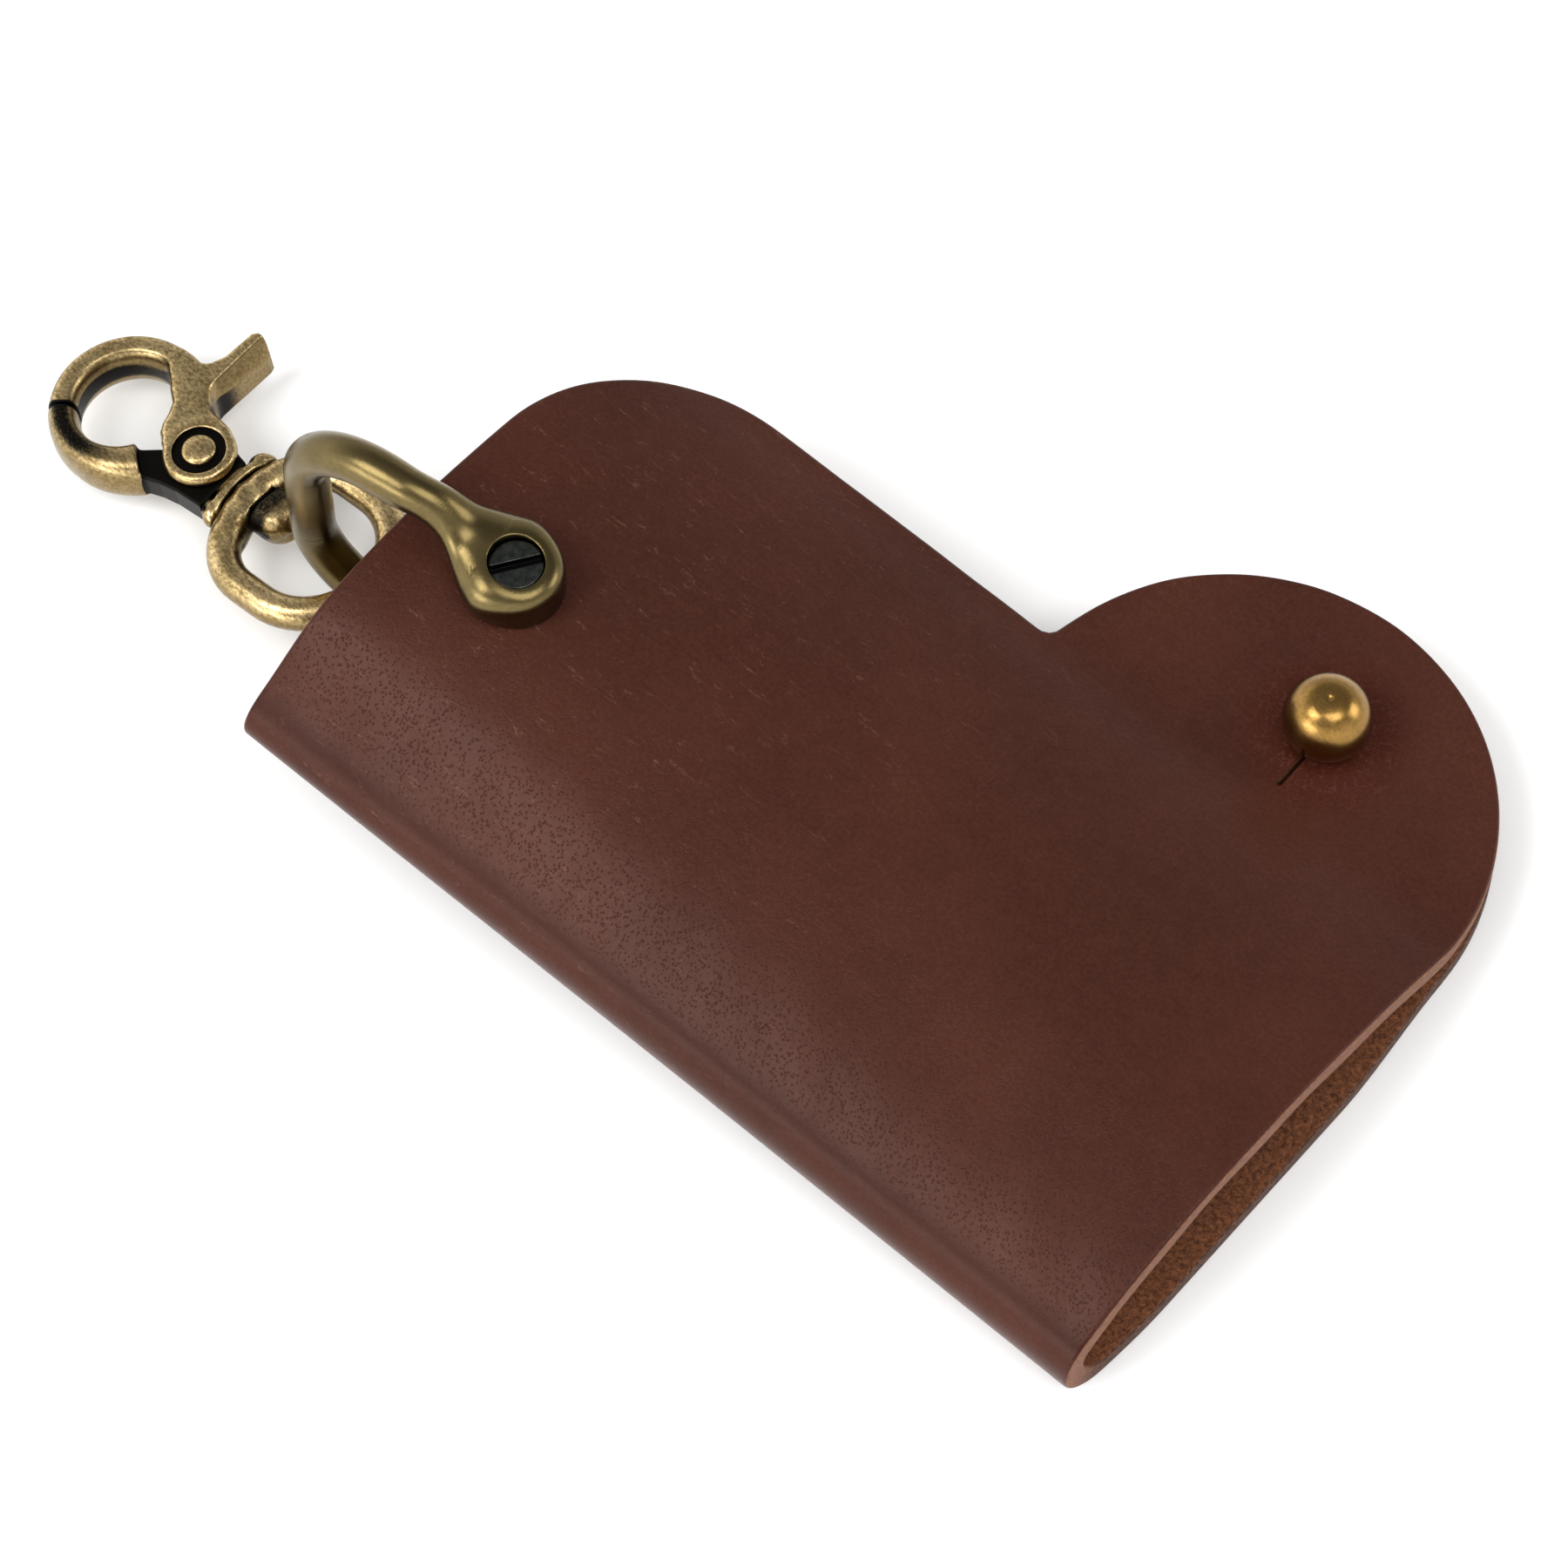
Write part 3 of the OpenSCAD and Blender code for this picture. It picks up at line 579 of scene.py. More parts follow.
flat3 = [np.column_stack([verts2, np.full(len(verts2), depth)]) for depth in (0, THICK)]
faces = [triangles, triangles[:, ::-1] + len(verts2)]
kinds = [np.full(len(triangles), kind) for kind in (GRAIN, FLESH)]
count = 2 * len(verts2)
for (loop, inner, share), ids in zip(loops, ring_ids):
    extra, strip, level = rim_strip(loop, inner, share, ids, count)
    flat3.append(extra)
    faces.append(strip)
    kinds.append(np.where(level < 2, GRAIN, np.where(level < 8, EDGE, FLESH)))
    count += len(extra)
flat3, faces, kinds = np.concatenate(flat3), np.concatenate(faces), np.concatenate(kinds)
points = part(sheet(flat3[:, 0], flat3[:, 1], flat3[:, 2]))


def vertex_normals(points, faces):
    """Area-weighted mean of the face normals at each vertex."""
    a, b, c = (points[faces[:, k]] for k in range(3))
    n = np.cross(b - a, c - a)
    total = np.zeros_like(points)
    for k in range(3):
        np.add.at(total, faces[:, k], n)
    return unit(total)


normals = vertex_normals(points, faces)
print("leather:", len(points), "points,", len(faces), "triangles")

# %% [markdown]
# ## Leather grain
# The grain side is dark red-brown and dull, with clouds of colour, fine pores, small pits along the
# fold with painted shade in them, a band of painted shade along the fold, short pale scratches at
# the hook end, and redder, wrinkled skin where the ball has pulled it. Object coordinates would
# slice through the bend, so the finish reads the flat position in millimetres that each vertex
# stores as
# "sheet". Each step mixes one more mark over the colour.

# %% Leather grain
SCRATCH_TURN, FOLD_SHADE_T = 21, 4.3  # degrees, mm
grain = bpy.data.materials.new("leather_grain")
tree, shader = nodes_of(grain)
place = place_on(tree, "sheet")
sheet_x, sheet_t, _ = split(tree, place)
cloud = remap(tree, noise(tree, place, 0.045, 3), 0.35, 0.68)
colour = mix(tree, cloud, (0.041, 0.0128, 0.0080), (0.054, 0.0162, 0.0100))
mottle = remap(tree, noise(tree, place, 0.6, 5, 0.7), 0.3, 0.75)
colour = mix(tree, times(tree, mottle, 0.3), colour, (0.066, 0.023, 0.015))

from_stud = tree.nodes.new("ShaderNodeVectorMath")
from_stud.operation = "DISTANCE"
link(tree, place, from_stud.inputs[0])
from_stud.inputs[1].default_value = (*stud_flat, 0)
pulled = remap(tree, from_stud.outputs["Value"], 3.8, 9.0, 1.0, 0.0)
colour = mix(tree, times(tree, pulled, 0.85), colour, (0.042, 0.0085, 0.0045))
wrinkle = off_by(tree, noise(tree, place, 0.9, 2, 0.5, 0.6), 0.5)
wrinkle = times(tree, remap(tree, wrinkle, 0.004, 0.03, 1.0, 0.0), pulled)
colour = mix(tree, times(tree, wrinkle, 0.3), colour, (0.12, 0.045, 0.03))

scratch = noise(tree, place_on(tree, "sheet", (0.17, 0.95, 1), SCRATCH_TURN), 1.0, 3, 0.55, 0.2)
scratch = remap(tree, off_by(tree, scratch, 0.5), 0.002, 0.009, 1.0, 0.0)
short = noise(tree, place_on(tree, "sheet", (0.4, 1.0, 1), SCRATCH_TURN), 0.8, 3, 0.6)
hook_end = remap(tree, sheet_x, -20.0, 25.0, 0.5, 0.03)
scratch = times(tree, times(tree, scratch, remap(tree, short, 0.49, 0.62)), hook_end)
colour = mix(tree, scratch, colour, (0.14, 0.068, 0.05))

pores = remap(tree, noise(tree, place, 2.6, 3, 0.75), 0.3, 0.7)
colour = mix(tree, 1.0, colour, mix(tree, pores, (0.84,) * 3, (1.16,) * 3), "MULTIPLY")
pit = remap(tree, cells(tree, place_on(tree, "sheet", (1.0, 0.8, 1), 15), 3.6), 0.1, 0.4)
by_fold = times(tree, remap(tree, sheet_t, 12.0, 26.0, 1.0, 0.2), remap(tree, sheet_t, 3.0, 9.0))
pit = times(tree, maths(tree, "SUBTRACT", 1.0, pit), by_fold)
# painted shade: the pits are darkened only in the band along the fold where its sheen lies
colour = mix(tree, times(tree, pit, 0.3), colour, (0.022, 0.0075, 0.0048))
# painted shade: a dark band along the fold, between its sheen and its pale rim
fold_shade = remap(tree, off_by(tree, sheet_t, FOLD_SHADE_T), 0.2, 1.9, 0.42, 0.0)
colour = mix(tree, fold_shade, colour, (0.016, 0.0032, 0.0018))
link(tree, colour, shader.inputs["Base Color"])

gloss = remap(tree, noise(tree, place, 0.35, 5, 0.65), 0.2, 0.8, 0.27, 0.35)
gloss = maths(tree, "ADD", gloss, times(tree, pit, 0.35))
link(tree, gloss, shader.inputs["Roughness"])
shader.inputs["Specular IOR Level"].default_value = 0.15
shader.inputs["Specular Tint"].default_value = (1.0, 0.74, 0.66, 1)
pitted = bumped(tree, shader, maths(tree, "SUBTRACT", 1.0, pit), 0.00006, 0.8)
bumped(tree, shader, noise(tree, place, 5.0, 4, 0.6), 0.00003, 0.5, pitted)
print(grain.name, "has", len(tree.nodes), "nodes")

# %% [markdown]
# ## Cut edge and flesh side
# The cut edge shows tan fibres, darker and rougher along the back panel's edge, where the darkness
# is partly its coarser fibres and partly painted shade, and the inside is brown suede. A plain
# colour would look like plastic here, because both are a felt of fibres: fine noise makes the
# fibres' colour and also lifts them as a bump.

# %% Leather edge and flesh
edge = bpy.data.materials.new("leather_edge")
tree, shader = nodes_of(edge)
place = place_on(tree, "sheet", (1, 1, 2.2))
sheet_t = split(tree, place)[1]
fibres = noise(tree, place, 2.4, 6, 0.75)
colour = mix(tree, remap(tree, fibres, 0.3, 0.7), (0.12, 0.045, 0.022), (0.28, 0.12, 0.064))
# partly painted shade: the back panel's cut edge, low by the floor, is painted darker as well as
# coarser
ragged = mix(tree, remap(tree, fibres, 0.42, 0.72), (0.03, 0.011, 0.006), (0.24, 0.095, 0.042))
colour = mix(tree, remap(tree, sheet_t, -6.0, -1.0, 1.0, 0.0), colour, ragged)
link(tree, colour, shader.inputs["Base Color"])
shader.inputs["Roughness"].default_value = 0.62
shader.inputs["Specular IOR Level"].default_value = 0.25
bumped(tree, shader, fibres, 0.00025, 0.8)

flesh = bpy.data.materials.new("leather_flesh")
tree, shader = nodes_of(flesh)
nap = noise(tree, place_on(tree, "sheet"), 2.2, 8, 0.82, 0.4)
colour = mix(tree, remap(tree, nap, 0.34, 0.68), (0.05, 0.016, 0.008), (0.33, 0.12, 0.05))
link(tree, colour, shader.inputs["Base Color"])
shader.inputs["Roughness"].default_value = 0.9
shader.inputs["Specular IOR Level"].default_value = 0.2
bumped(tree, shader, nap, 0.0005, 0.8)
print("leather finishes:", grain.name, edge.name, flesh.name)

# %% [markdown]
# ## The two leather pieces
# The front panel lifts off the stud, and real leather bends over a wide zone when it does. The
# folded mesh is parted along a straight line into the part that stays and the part that lifts.
# They share the normals along that line, so no seam shows. The ends of a 17 mm bend are worked out,
# but the lifting part is not attached to a body.

# %% Leather pieces
centre_t = flat3[faces, 1].mean(1)
fixed = centre_t < split_t
pieces = {}
for name, keep in (("leather_body", fixed), ("leather_flap", ~fixed)):
    used, packed = np.unique(faces[keep], return_inverse=True)
    piece = new_piece(name, points[used], packed.reshape(-1, 3), [grain, edge, flesh],
                      kinds[keep], normals[used])
    add_values(piece, "sheet", flat3[used])
    pieces[name] = piece
    print(name, len(piece.data.vertices), "points")
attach(pieces["leather_body"], "case")
BEND_FROM, BEND_TO, BEND_Z = 25, 42, 10.8
start, end = part([[0, BEND_FROM, BEND_Z], [0, BEND_TO, BEND_Z]])
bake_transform(pieces["leather_flap"])
for piece, stands_for in ((pieces["leather_body"], ("leather_case",)),
                          (pieces["leather_flap"], ("front_flap", "buttonhole"))):
    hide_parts(*stands_for)

# %% [markdown]
# ## Metal from distance fields
# The shackle, ring and hook are castings: every join has a fillet and no edge is sharp. Boolean and
# bevel modifiers tend to fail where such forms run into each other, so the metal is written as
# distance fields: a function gives, for any point, how far it lies outside a shape. Bars, eyes and
# plates are joined with `blend_min`, which fillets each join, and `surface()` turns the field into
# a mesh.


# %% From field to mesh
def field_slope(field, p, e=0.01):
    """Gradient of a field: for each axis, its values a step ahead and behind, divided by the
    distance between them."""
    steps = np.eye(3) * e
    return np.stack([field(p + s) - field(p - s) for s in steps], -1) / (2 * e)


def surface(field, low, high, step):
    """Surface nets: one vertex in each grid cell that the zero surface crosses, at the mean of its
    edge crossings, one quad round each crossed edge, then each vertex slides onto the surface.
    The field is worked out at every fourth grid point first, and in full only near the surface."""
    step *= 1
    axes = [np.arange(a, b + step, step) for a, b in zip(low, high)]
    shape, skip = [len(a) for a in axes], 4
    grid = np.stack(np.meshgrid(*axes, indexing="ij"), -1)
    rough = field(grid[::skip, ::skip, ::skip].reshape(-1, 3))
    rough = rough.reshape([-(-n // skip) for n in shape])
    f = rough[np.ix_(*[np.arange(n) // skip for n in shape])]
    near = np.abs(f) < 6.5 * step
    f[near] = field(grid[near])
    for axis in range(3):
        np.moveaxis(f, axis, 0)[[0, -1]] = step
    cell = [n - 1 for n in shape]
    total, count, quads = np.zeros((np.prod(cell), 3)), np.zeros(np.prod(cell)), []
    for axis in range(3):
        one, two = [slice(None)] * 3, [slice(None)] * 3
        one[axis], two[axis] = slice(0, -1), slice(1, None)
        fa, fb = f[tuple(one)], f[tuple(two)]
        found = np.argwhere((fa < 0) != (fb < 0))
        a, b = fa[tuple(found.T)], fb[tuple(found.T)]
        place = grid[tuple(found.T)]
        place[:, axis] += step * a / (a - b)
        corners = []
        for du, dv in ((-1, -1), (0, -1), (0, 0), (-1, 0)):
            j = found.copy()
            j[:, (axis + 1) % 3] += du
            j[:, (axis + 2) % 3] += dv
            flat_j = np.ravel_multi_index(tuple(j.T), cell)
            for k in range(3):
                total[:, k] += np.bincount(flat_j, place[:, k], len(total))
            count += np.bincount(flat_j, minlength=len(count))
            corners.append(flat_j)
        quad = np.stack(corners, 1)
        quad[a > 0] = quad[a > 0][:, ::-1]
        quads.append(quad)
    used = np.flatnonzero(count)
    points = total[used] / count[used, None]
    lookup = np.zeros(len(count), int)
    lookup[used] = np.arange(len(used))
    for _ in range(3):
        g = field_slope(field, points)
        move = (field(points) / np.maximum((g * g).sum(1), 0.05))[:, None] * g
        length = np.maximum(np.linalg.norm(move, axis=1), 1e-9)
        points -= move * np.minimum(1, step / length)[:, None]
    return points, lookup[np.concatenate(quads)]


print("surface nets in steps", "at full detail")


# %% Shapes as fields
def blend_min(a, b, width):
    """The smaller of two distances, rounded over a width: a union with a fillet."""
    h = np.maximum(width - np.abs(a - b), 0) / width
    return np.minimum(a, b) - h * h * width / 4


def blend_max(a, b, width):
    """The larger of two distances, rounded over a width: an intersection with a soft edge."""
    return -blend_min(-a, -b, width)


def rod(p, path, across, deep, power=2.0):
    """Distance to a bar of oval section that follows a flat path: each point is set against the
    two path steps next to its nearest path point. Across is its half width in the path's plane,
    deep the half height above the plane; a power above 2 makes it squarer."""
    q, square = np.ascontiguousarray(p[:, :2]), (path * path).sum(1)
    near = np.concatenate([(square - 2 * chunk @ path.T).argmin(1)
                           for chunk in np.array_split(q, len(q) // 100000 + 1)])
    best, at = np.full(len(p), np.inf), np.zeros(len(p))
    for k in (np.maximum(near - 1, 0), np.minimum(near, len(path) - 2)):
        ab, w = path[k + 1] - path[k], q - path[k]
        s = np.clip((w * ab).sum(1) / (ab * ab).sum(1), 0, 1)
        d = np.linalg.norm(w - s[:, None] * ab, axis=1)
        best, at = np.minimum(d, best), np.where(d < best, k + s, at)
    places = np.arange(len(path))
    w, h = np.interp(at, places, across), np.interp(at, places, deep)
    oval = ((best / w) ** power + (np.abs(p[:, 2]) / h) ** power) ** (1 / power)
    return (oval - 1) * np.minimum(w, h)


def puck(p, radius, low, high, rounding):
    """Distance to a round disc about the third axis, with rounded rims."""
    a = np.hypot(p[:, 0], p[:, 1]) - radius + rounding
    b = np.abs(p[:, 2] - (low + high) / 2) - (high - low) / 2 + rounding
    return np.minimum(np.maximum(a, b), 0) + np.hypot(np.maximum(a, 0), np.maximum(b, 0)) - rounding


def plate(p, outline, half, rounding):
    """Distance to a flat plate with a polygon's outline, its edges rounded: the distance to the
    nearest side, minus inside, set against the half thickness."""
    q, best, sign = p[:, :2], np.full(len(p), np.inf), np.ones(len(p))
    for k in range(len(outline)):
        a, b = outline[k - 1], outline[k]
        ab, w = b - a, q - a
        s = np.clip((w @ ab) / (ab @ ab), 0, 1)
        best = np.minimum(best, ((w - s[:, None] * ab) ** 2).sum(1))
        spans = (a[1] > q[:, 1]) != (b[1] > q[:, 1])
        side = (q[:, 0] - a[0]) * ab[1] - (q[:, 1] - a[1]) * ab[0]
        sign = np.where(spans & ((side > 0) == (ab[1] < 0)), -sign, sign)
    flat_d = sign * np.sqrt(best)
    return blend_max(flat_d, np.abs(p[:, 2]) - half, rounding)


def curve_through(points, per):
    """A smooth curve through points, as short straight steps: a cubic between each two, whose
    slope at a point follows the line from the one before it to the one after."""
    p = np.vstack([2 * points[0] - points[1], points, 2 * points[-1] - points[-2]])
    t = np.linspace(0, 1, per, endpoint=False)[:, None, None]
    a, b, c, d = p[None, :-3], p[None, 1:-2], p[None, 2:-1], p[None, 3:]
    q = 0.5 * (2 * b + (c - a) * t + (2 * a - 5 * b + 4 * c - d) * t ** 2
               + (3 * b - a - 3 * c + d) * t ** 3)
    return np.vstack([q.transpose(1, 0, 2).reshape(-1, points.shape[1]), points[-1:]])


print("shapes: rod, puck, plate")

# %% [markdown]
# ## One metal piece
# Old brass is dark where a cloth never reaches, and its hollows lie in shade as well. Ambient
# occlusion could be baked for that shade; here it is painted instead: the distance field already
# knows how close the next wall is, so the depth of hollows is read from it and stored on the
# vertices as
# "recess", for the patina and the painted shade, with "wear" for how level the surface lies.


# %% One metal piece
def metal_piece(name, points, quads, place, material, body, stands_for, recess, wear, normals=None):
    """A metal piece moved by place() into the leather frame, with the numbers that its finish
    reads. It rides on a body and stands for one CAD node."""
    piece = new_piece(name, part(place(points)), quads, [material], None, normals)
    add_values(piece, "recess", recess)
    add_values(piece, "wear", wear)
    add_values(piece, "local", points)
    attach(piece, body)
    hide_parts(stands_for)
    print(name, len(points), "points,", len(quads), "quads")


def cast(name, field, low, high, place, material, body, stands_for, step, shade_paint=None):
    """A metal piece from its field, meshed in its own frame. "recess" rises where the metal round
    a point hides it from outside: the field is read at three distances along the normal, and each
    counts by how much less than that distance it gives. It carries the patina and the painted shade
    of the hollows. The last argument, a function, adds painted shade of its own."""
    points, quads = surface(field, low, high, step)
    g = unit(field_slope(field, points, 0.02))
    recess = 0 if shade_paint is None else shade_paint(points)
    upright = 1 - smooth(np.abs(g[:, 2]), 0.02, 0.24)
    # painted shade: darkness where nearby metal hides a point, on top of the patina
    for distance, weight in ((0.9, 1.0), (2.2, 0.5), (6.3, 1.5 * upright)):
        recess = recess + weight * np.clip(1 - field(points + g * distance) / distance, 0, 1.5)
    normals = unit(place(g) - place(np.zeros((1, 3))))
    metal_piece(name, points, quads, place, material, body, stands_for, recess, np.abs(g[:, 2]),
                normals)


print("each metal piece stores recess, wear and its local place")

# %% [markdown]
# ## Metal finishes
# The hook and ring are antique brass, nearly black in the hollows, from patina and painted shade,
# and brushed bright on the high faces; the shackle is a darker, smoother olive brass; the ball is
# golden, and the screws are blackened steel with painted shade in the slot. Each could be one metal
# with a roughness, but age is what the eye reads, so colour and gloss follow "recess" and "wear",
# broken up by noise in the piece's own frame.


# %% Metal finishes
def aged_brass(name, bright, mid, dark, streaks, patina_and_shade, rough):
    """Brass whose colour goes from mid to bright where the brushing shows, as far as streaks
    allows, and to dark, as patina and painted shade, where "recess" lies in the given range. "wear"
    is 1 on faces that lie flat on a table and 0 on upright walls. Rough holds the roughness of mid
    and bright metal."""
    material = bpy.data.materials.new(name)
    tree, shader = nodes_of(material)
    place = place_on(tree, "local")
    blotch = noise(tree, place, 0.42, 4, 0.6)
    brushed = noise(tree, place_on(tree, "local", (2.2, 4.0, 3.0), 38), 1.0, 5, 0.66)
    speckle = noise(tree, place, 4.5, 5, 0.72)
    facing = remap(tree, stored(tree, "wear"), 0.2, 0.9, 0.3, 1.0)
    worn = maths(tree, "ADD", brushed, times(tree, maths(tree, "ADD", blotch, speckle), 0.45))
    worn = times(tree, times(tree, remap(tree, worn, 0.74, 1.16), facing), streaks)
    deep = tuple(0.7 * v for v in mid)
    colour = mix(tree, remap(tree, blotch, 0.3, 0.7), mid, deep)
    colour = mix(tree, maths(tree, "SUBTRACT", 1.0, facing), colour, deep)
    colour = mix(tree, worn, colour, bright)
    ragged = times(tree, maths(tree, "SUBTRACT", speckle, 0.5), 0.5)
    # painted shade: the hollows turn dark together with their patina
    hollow = remap(tree, maths(tree, "ADD", stored(tree, "recess"), ragged), *patina_and_shade)
    colour = mix(tree, hollow, colour, dark)
    link(tree, colour, shader.inputs["Base Color"])
    shader.inputs["Metallic"].default_value = 1.0
    gloss = mix(tree, worn, (rough[0],) * 3, (rough[1],) * 3)
    link(tree, mix(tree, hollow, gloss, (0.42,) * 3), shader.inputs["Roughness"])
    bumped(tree, shader, speckle, 0.00003, 0.5)
    return material


antique = aged_brass(
    "antique_brass", bright=(0.7, 0.52, 0.26), mid=(0.24, 0.165, 0.064),
    dark=(0.008, 0.007, 0.006), streaks=0.95, patina_and_shade=(0.26, 0.66), rough=(0.27, 0.2))
olive = aged_brass(
    "olive_brass", bright=(0.36, 0.27, 0.115), mid=(0.16, 0.12, 0.05),
    dark=(0.025, 0.021, 0.012), streaks=0.15, patina_and_shade=(0.42, 1.15), rough=(0.21, 0.17))
gold = aged_brass(
    "golden_brass", bright=(0.52, 0.31, 0.10), mid=(0.27, 0.15, 0.036),
    dark=(0.06, 0.04, 0.02), streaks=0.25, patina_and_shade=(0.6, 1.4), rough=(0.2, 0.15))
gold_shader = gold.node_tree.nodes["Principled BSDF"]
gold_shader.inputs["Coat Weight"].default_value = 0.15
gold_shader.inputs["Coat Roughness"].default_value = 0.12

steel = bpy.data.materials.new("gunmetal")
tree, shader = nodes_of(steel)
coordinates = tree.nodes.new("ShaderNodeTexCoord")
grime = noise(tree, coordinates.outputs["Object"], 1500, 4, 0.65)
colour = mix(tree, remap(tree, grime, 0.35, 0.7), (0.022, 0.025, 0.023), (0.05, 0.054, 0.049))
# painted shade: the screw's slot is painted nearly black
slot_shade = remap(tree, stored(tree, "recess"), 0.25, 0.6)
link(tree, mix(tree, slot_shade, colour, (0.003,) * 3), shader.inputs["Base Color"])
shader.inputs["Metallic"].default_value = 0.9
shader.inputs["Roughness"].default_value = 0.33
print("metal finishes:", antique.name, olive.name, gold.name, steel.name)

# %% [markdown]
# ## Shackle
# A bow of thick wire reaches over the hook end and holds it on a screw. A curve with a bevel could
# be swept for it, but the wire thins to a neck at each arm, flattens, and spreads into an eye. So
# it is a rod of changing section, filleted into two discs. In its own frame the bow lies in the
# first two axes: along the arm, and height.

# %% Shackle
BOW_Z, BOW_TURN = 6.0, math.radians(8)
EYE_Z, ARM_Z, ARM_R, BOW_CORNER, WIRE_R = 8.1, 12.2, 13.5, 8.0, 1.95
EYE_R, EYE_IN, EYE_OUT, EYE_ROUND, INNER_FACE = 4.05, EYE_Z - 3.4, EYE_Z + 2, 1.5, 6.12
EYE_SIDE, HOLE_R, RECESS_R, RECESS_DEEP, FLARE_LEAN = 4.6, 1.55, 2.4, 1.7, 0.5
SHARES = np.array([  # place along the arm, rise toward it, width, depth
    (0.12, 0.0, 1.85, 0.92), (0.24, 0.08, 1.64, 0.84), (0.36, 0.32, 1.36, 0.78),
    (0.5, 0.66, 1.06, 0.8), (0.63, 0.88, 0.94, 0.88), (0.77, 0.98, 0.94, 0.95),
    (0.9, 1.0, 0.98, 1.0)])
arm = np.column_stack([-ARM_R * SHARES[:, 0], EYE_Z + (ARM_Z - EYE_Z) * SHARES[:, 1],
                       SHARES[:, 2] * WIRE_R, SHARES[:, 3] * WIRE_R])
bend = arc((-ARM_R, ARM_Z - BOW_CORNER), BOW_CORNER, 90, 180, 12)
arm = np.vstack([arm, np.column_stack([bend, np.full((12, 2), WIRE_R)])])
arm = curve_through(arm, 8)
bow_line = np.vstack([arm, arm[::-1] * (1, -1, 1, 1)])


def shackle_place(p):
    """The shackle's frame (along the arm, height, sideways) to the leather frame."""
    x, z, y = p.T
    c, s = math.cos(BOW_TURN), math.sin(BOW_TURN)
    return np.stack([PIN[0] + c * x + s * y, PIN[1] + s * x - c * y, BOW_Z + z], -1)


def shackle_field(p):
    """Bow, two eyes with rounded rims, the screw's hole and the recess for its head. The flare
    leans to one side: the bar is read at a point moved by the lean."""
    q = p.copy()
    q[:, 2] += FLARE_LEAN * smooth(p[:, 0], -11, -6.5) * (1 - smooth(p[:, 0], -4.5, -1))
    d = rod(q, bow_line[:, :2], bow_line[:, 3], bow_line[:, 2])
    upright = np.stack([p[:, 0], p[:, 2], p[:, 1]], -1)
    for side in (1, -1):
        eye = puck(upright * (1, 1, side), EYE_R, EYE_IN, EYE_OUT, EYE_ROUND)
        d = blend_min(d, eye, 3.0)
    beside = 50 * (np.abs(p[:, 0]) > EYE_SIDE)  # the inner faces are cut only on the eyes
    d = blend_max(d, INNER_FACE - np.abs(p[:, 1]) - beside, 0.2)
    around = np.hypot(upright[:, 0], upright[:, 1])
    d = blend_max(d, HOLE_R - around, 0.15)
    return blend_max(d, -np.maximum(around - RECESS_R, EYE_OUT - RECESS_DEEP - p[:, 1]), 0.15)


cast("shackle_bow", shackle_field, (-24.6, -15, -4.8), (4.8, 15, 4.8), shackle_place, olive,
     "shackle", "shackle", 0.13)

# %% [markdown]
# ## Shackle screw
# The blackened screw sits in the recess of the eye, and its slot catches the light. A cylinder cut
# by a boolean would have knife edges, so this is one more field, with a softened slot.

# %% Shackle screw
SHAFT_R, SCREW_TOP, HEAD_R, HEAD_DEEP = 1.48, EYE_Z + 1.85, 2.32, 1.5
SLOT_HALF, SLOT_DEEP, SLOT_ANGLE = 0.38, 0.65, math.radians(146)


def screw_field(p):
    """Plain shaft, flat head, and a slot square to the line at the slot's angle."""
    around = np.hypot(p[:, 0], p[:, 1])
    d = np.maximum(around - SHAFT_R, np.abs(p[:, 2]) - SCREW_TOP + 0.3)
    d = np.minimum(d, puck(p, HEAD_R, SCREW_TOP - HEAD_DEEP, SCREW_TOP, 0.2))
    across = np.abs(p[:, 0] * math.cos(SLOT_ANGLE) + p[:, 1] * math.sin(SLOT_ANGLE))
    return blend_max(d, -np.maximum(across - SLOT_HALF, SCREW_TOP - SLOT_DEEP - p[:, 2]), 0.12)


cast("screw", screw_field, (-2.7, -2.7, -10.2), (2.7, 2.7, 10.4),
     lambda p: p + (PIN[0], PIN[1], BOW_Z), steel, "screw", "shackle_screw", 0.1)

# %% [markdown]
# ## Swivel ring
# A D of round wire hangs on the shackle, and a worn, dented band over its straight side holds the
# hook's shank. A swept curve has a seam where band and wire meet; as fields the two run into each
# other. Ring and hook share one tilted frame: the first axis runs from the hook's tip toward the
# case, the second across and the third up.

# %% Swivel ring
HOOK_AT, HOOK_TILT = np.array([-54.3612, 19.032, -3.2338]), math.radians(7.5)
RING_R, RING_WIRE, RING_CORNER, BAR_U, RIVET_U, EYE_U = 6.5, 1.5, 5.2, 7.65, 13.8, 22.5
BAND_R, BAND_END, DENT, BORE_R, CUP_R, CUP_AT = 1.62, 5.7, 0.07, 1.05, 1.95, BAR_U - 1.25


def hook_place(p):
    """The hook's frame to the leather frame: tip lowered by the tilt."""
    x, y, h = p.T
    c, s = math.cos(HOOK_TILT), math.sin(HOOK_TILT)
    return np.stack([HOOK_AT[0] + c * x - s * h, HOOK_AT[1] + y, HOOK_AT[2] + s * x + c * h], -1)


ring_line = np.vstack([
    arc((-BAR_U + RING_CORNER, RING_R - RING_CORNER), RING_CORNER, 180, 90, 14),
    arc((0, 0), RING_R, 90, -90, 30),
    arc((-BAR_U + RING_CORNER, RING_CORNER - RING_R), RING_CORNER, 270, 180, 14)])
ring_line = np.vstack([ring_line, ring_line[:1]])
ring_line[:, 1] *= np.where(ring_line[:, 1] < 0, 1.09, 1.0)  # one side bulges further
share = np.linspace(-0.9, 0.9, 19)
band_line = np.column_stack([RING_CORNER * 0.42 * share ** 2 - BAR_U, RING_R * share])
band_half = BAND_R * (1 - 0.24 * np.abs(share) ** 3)


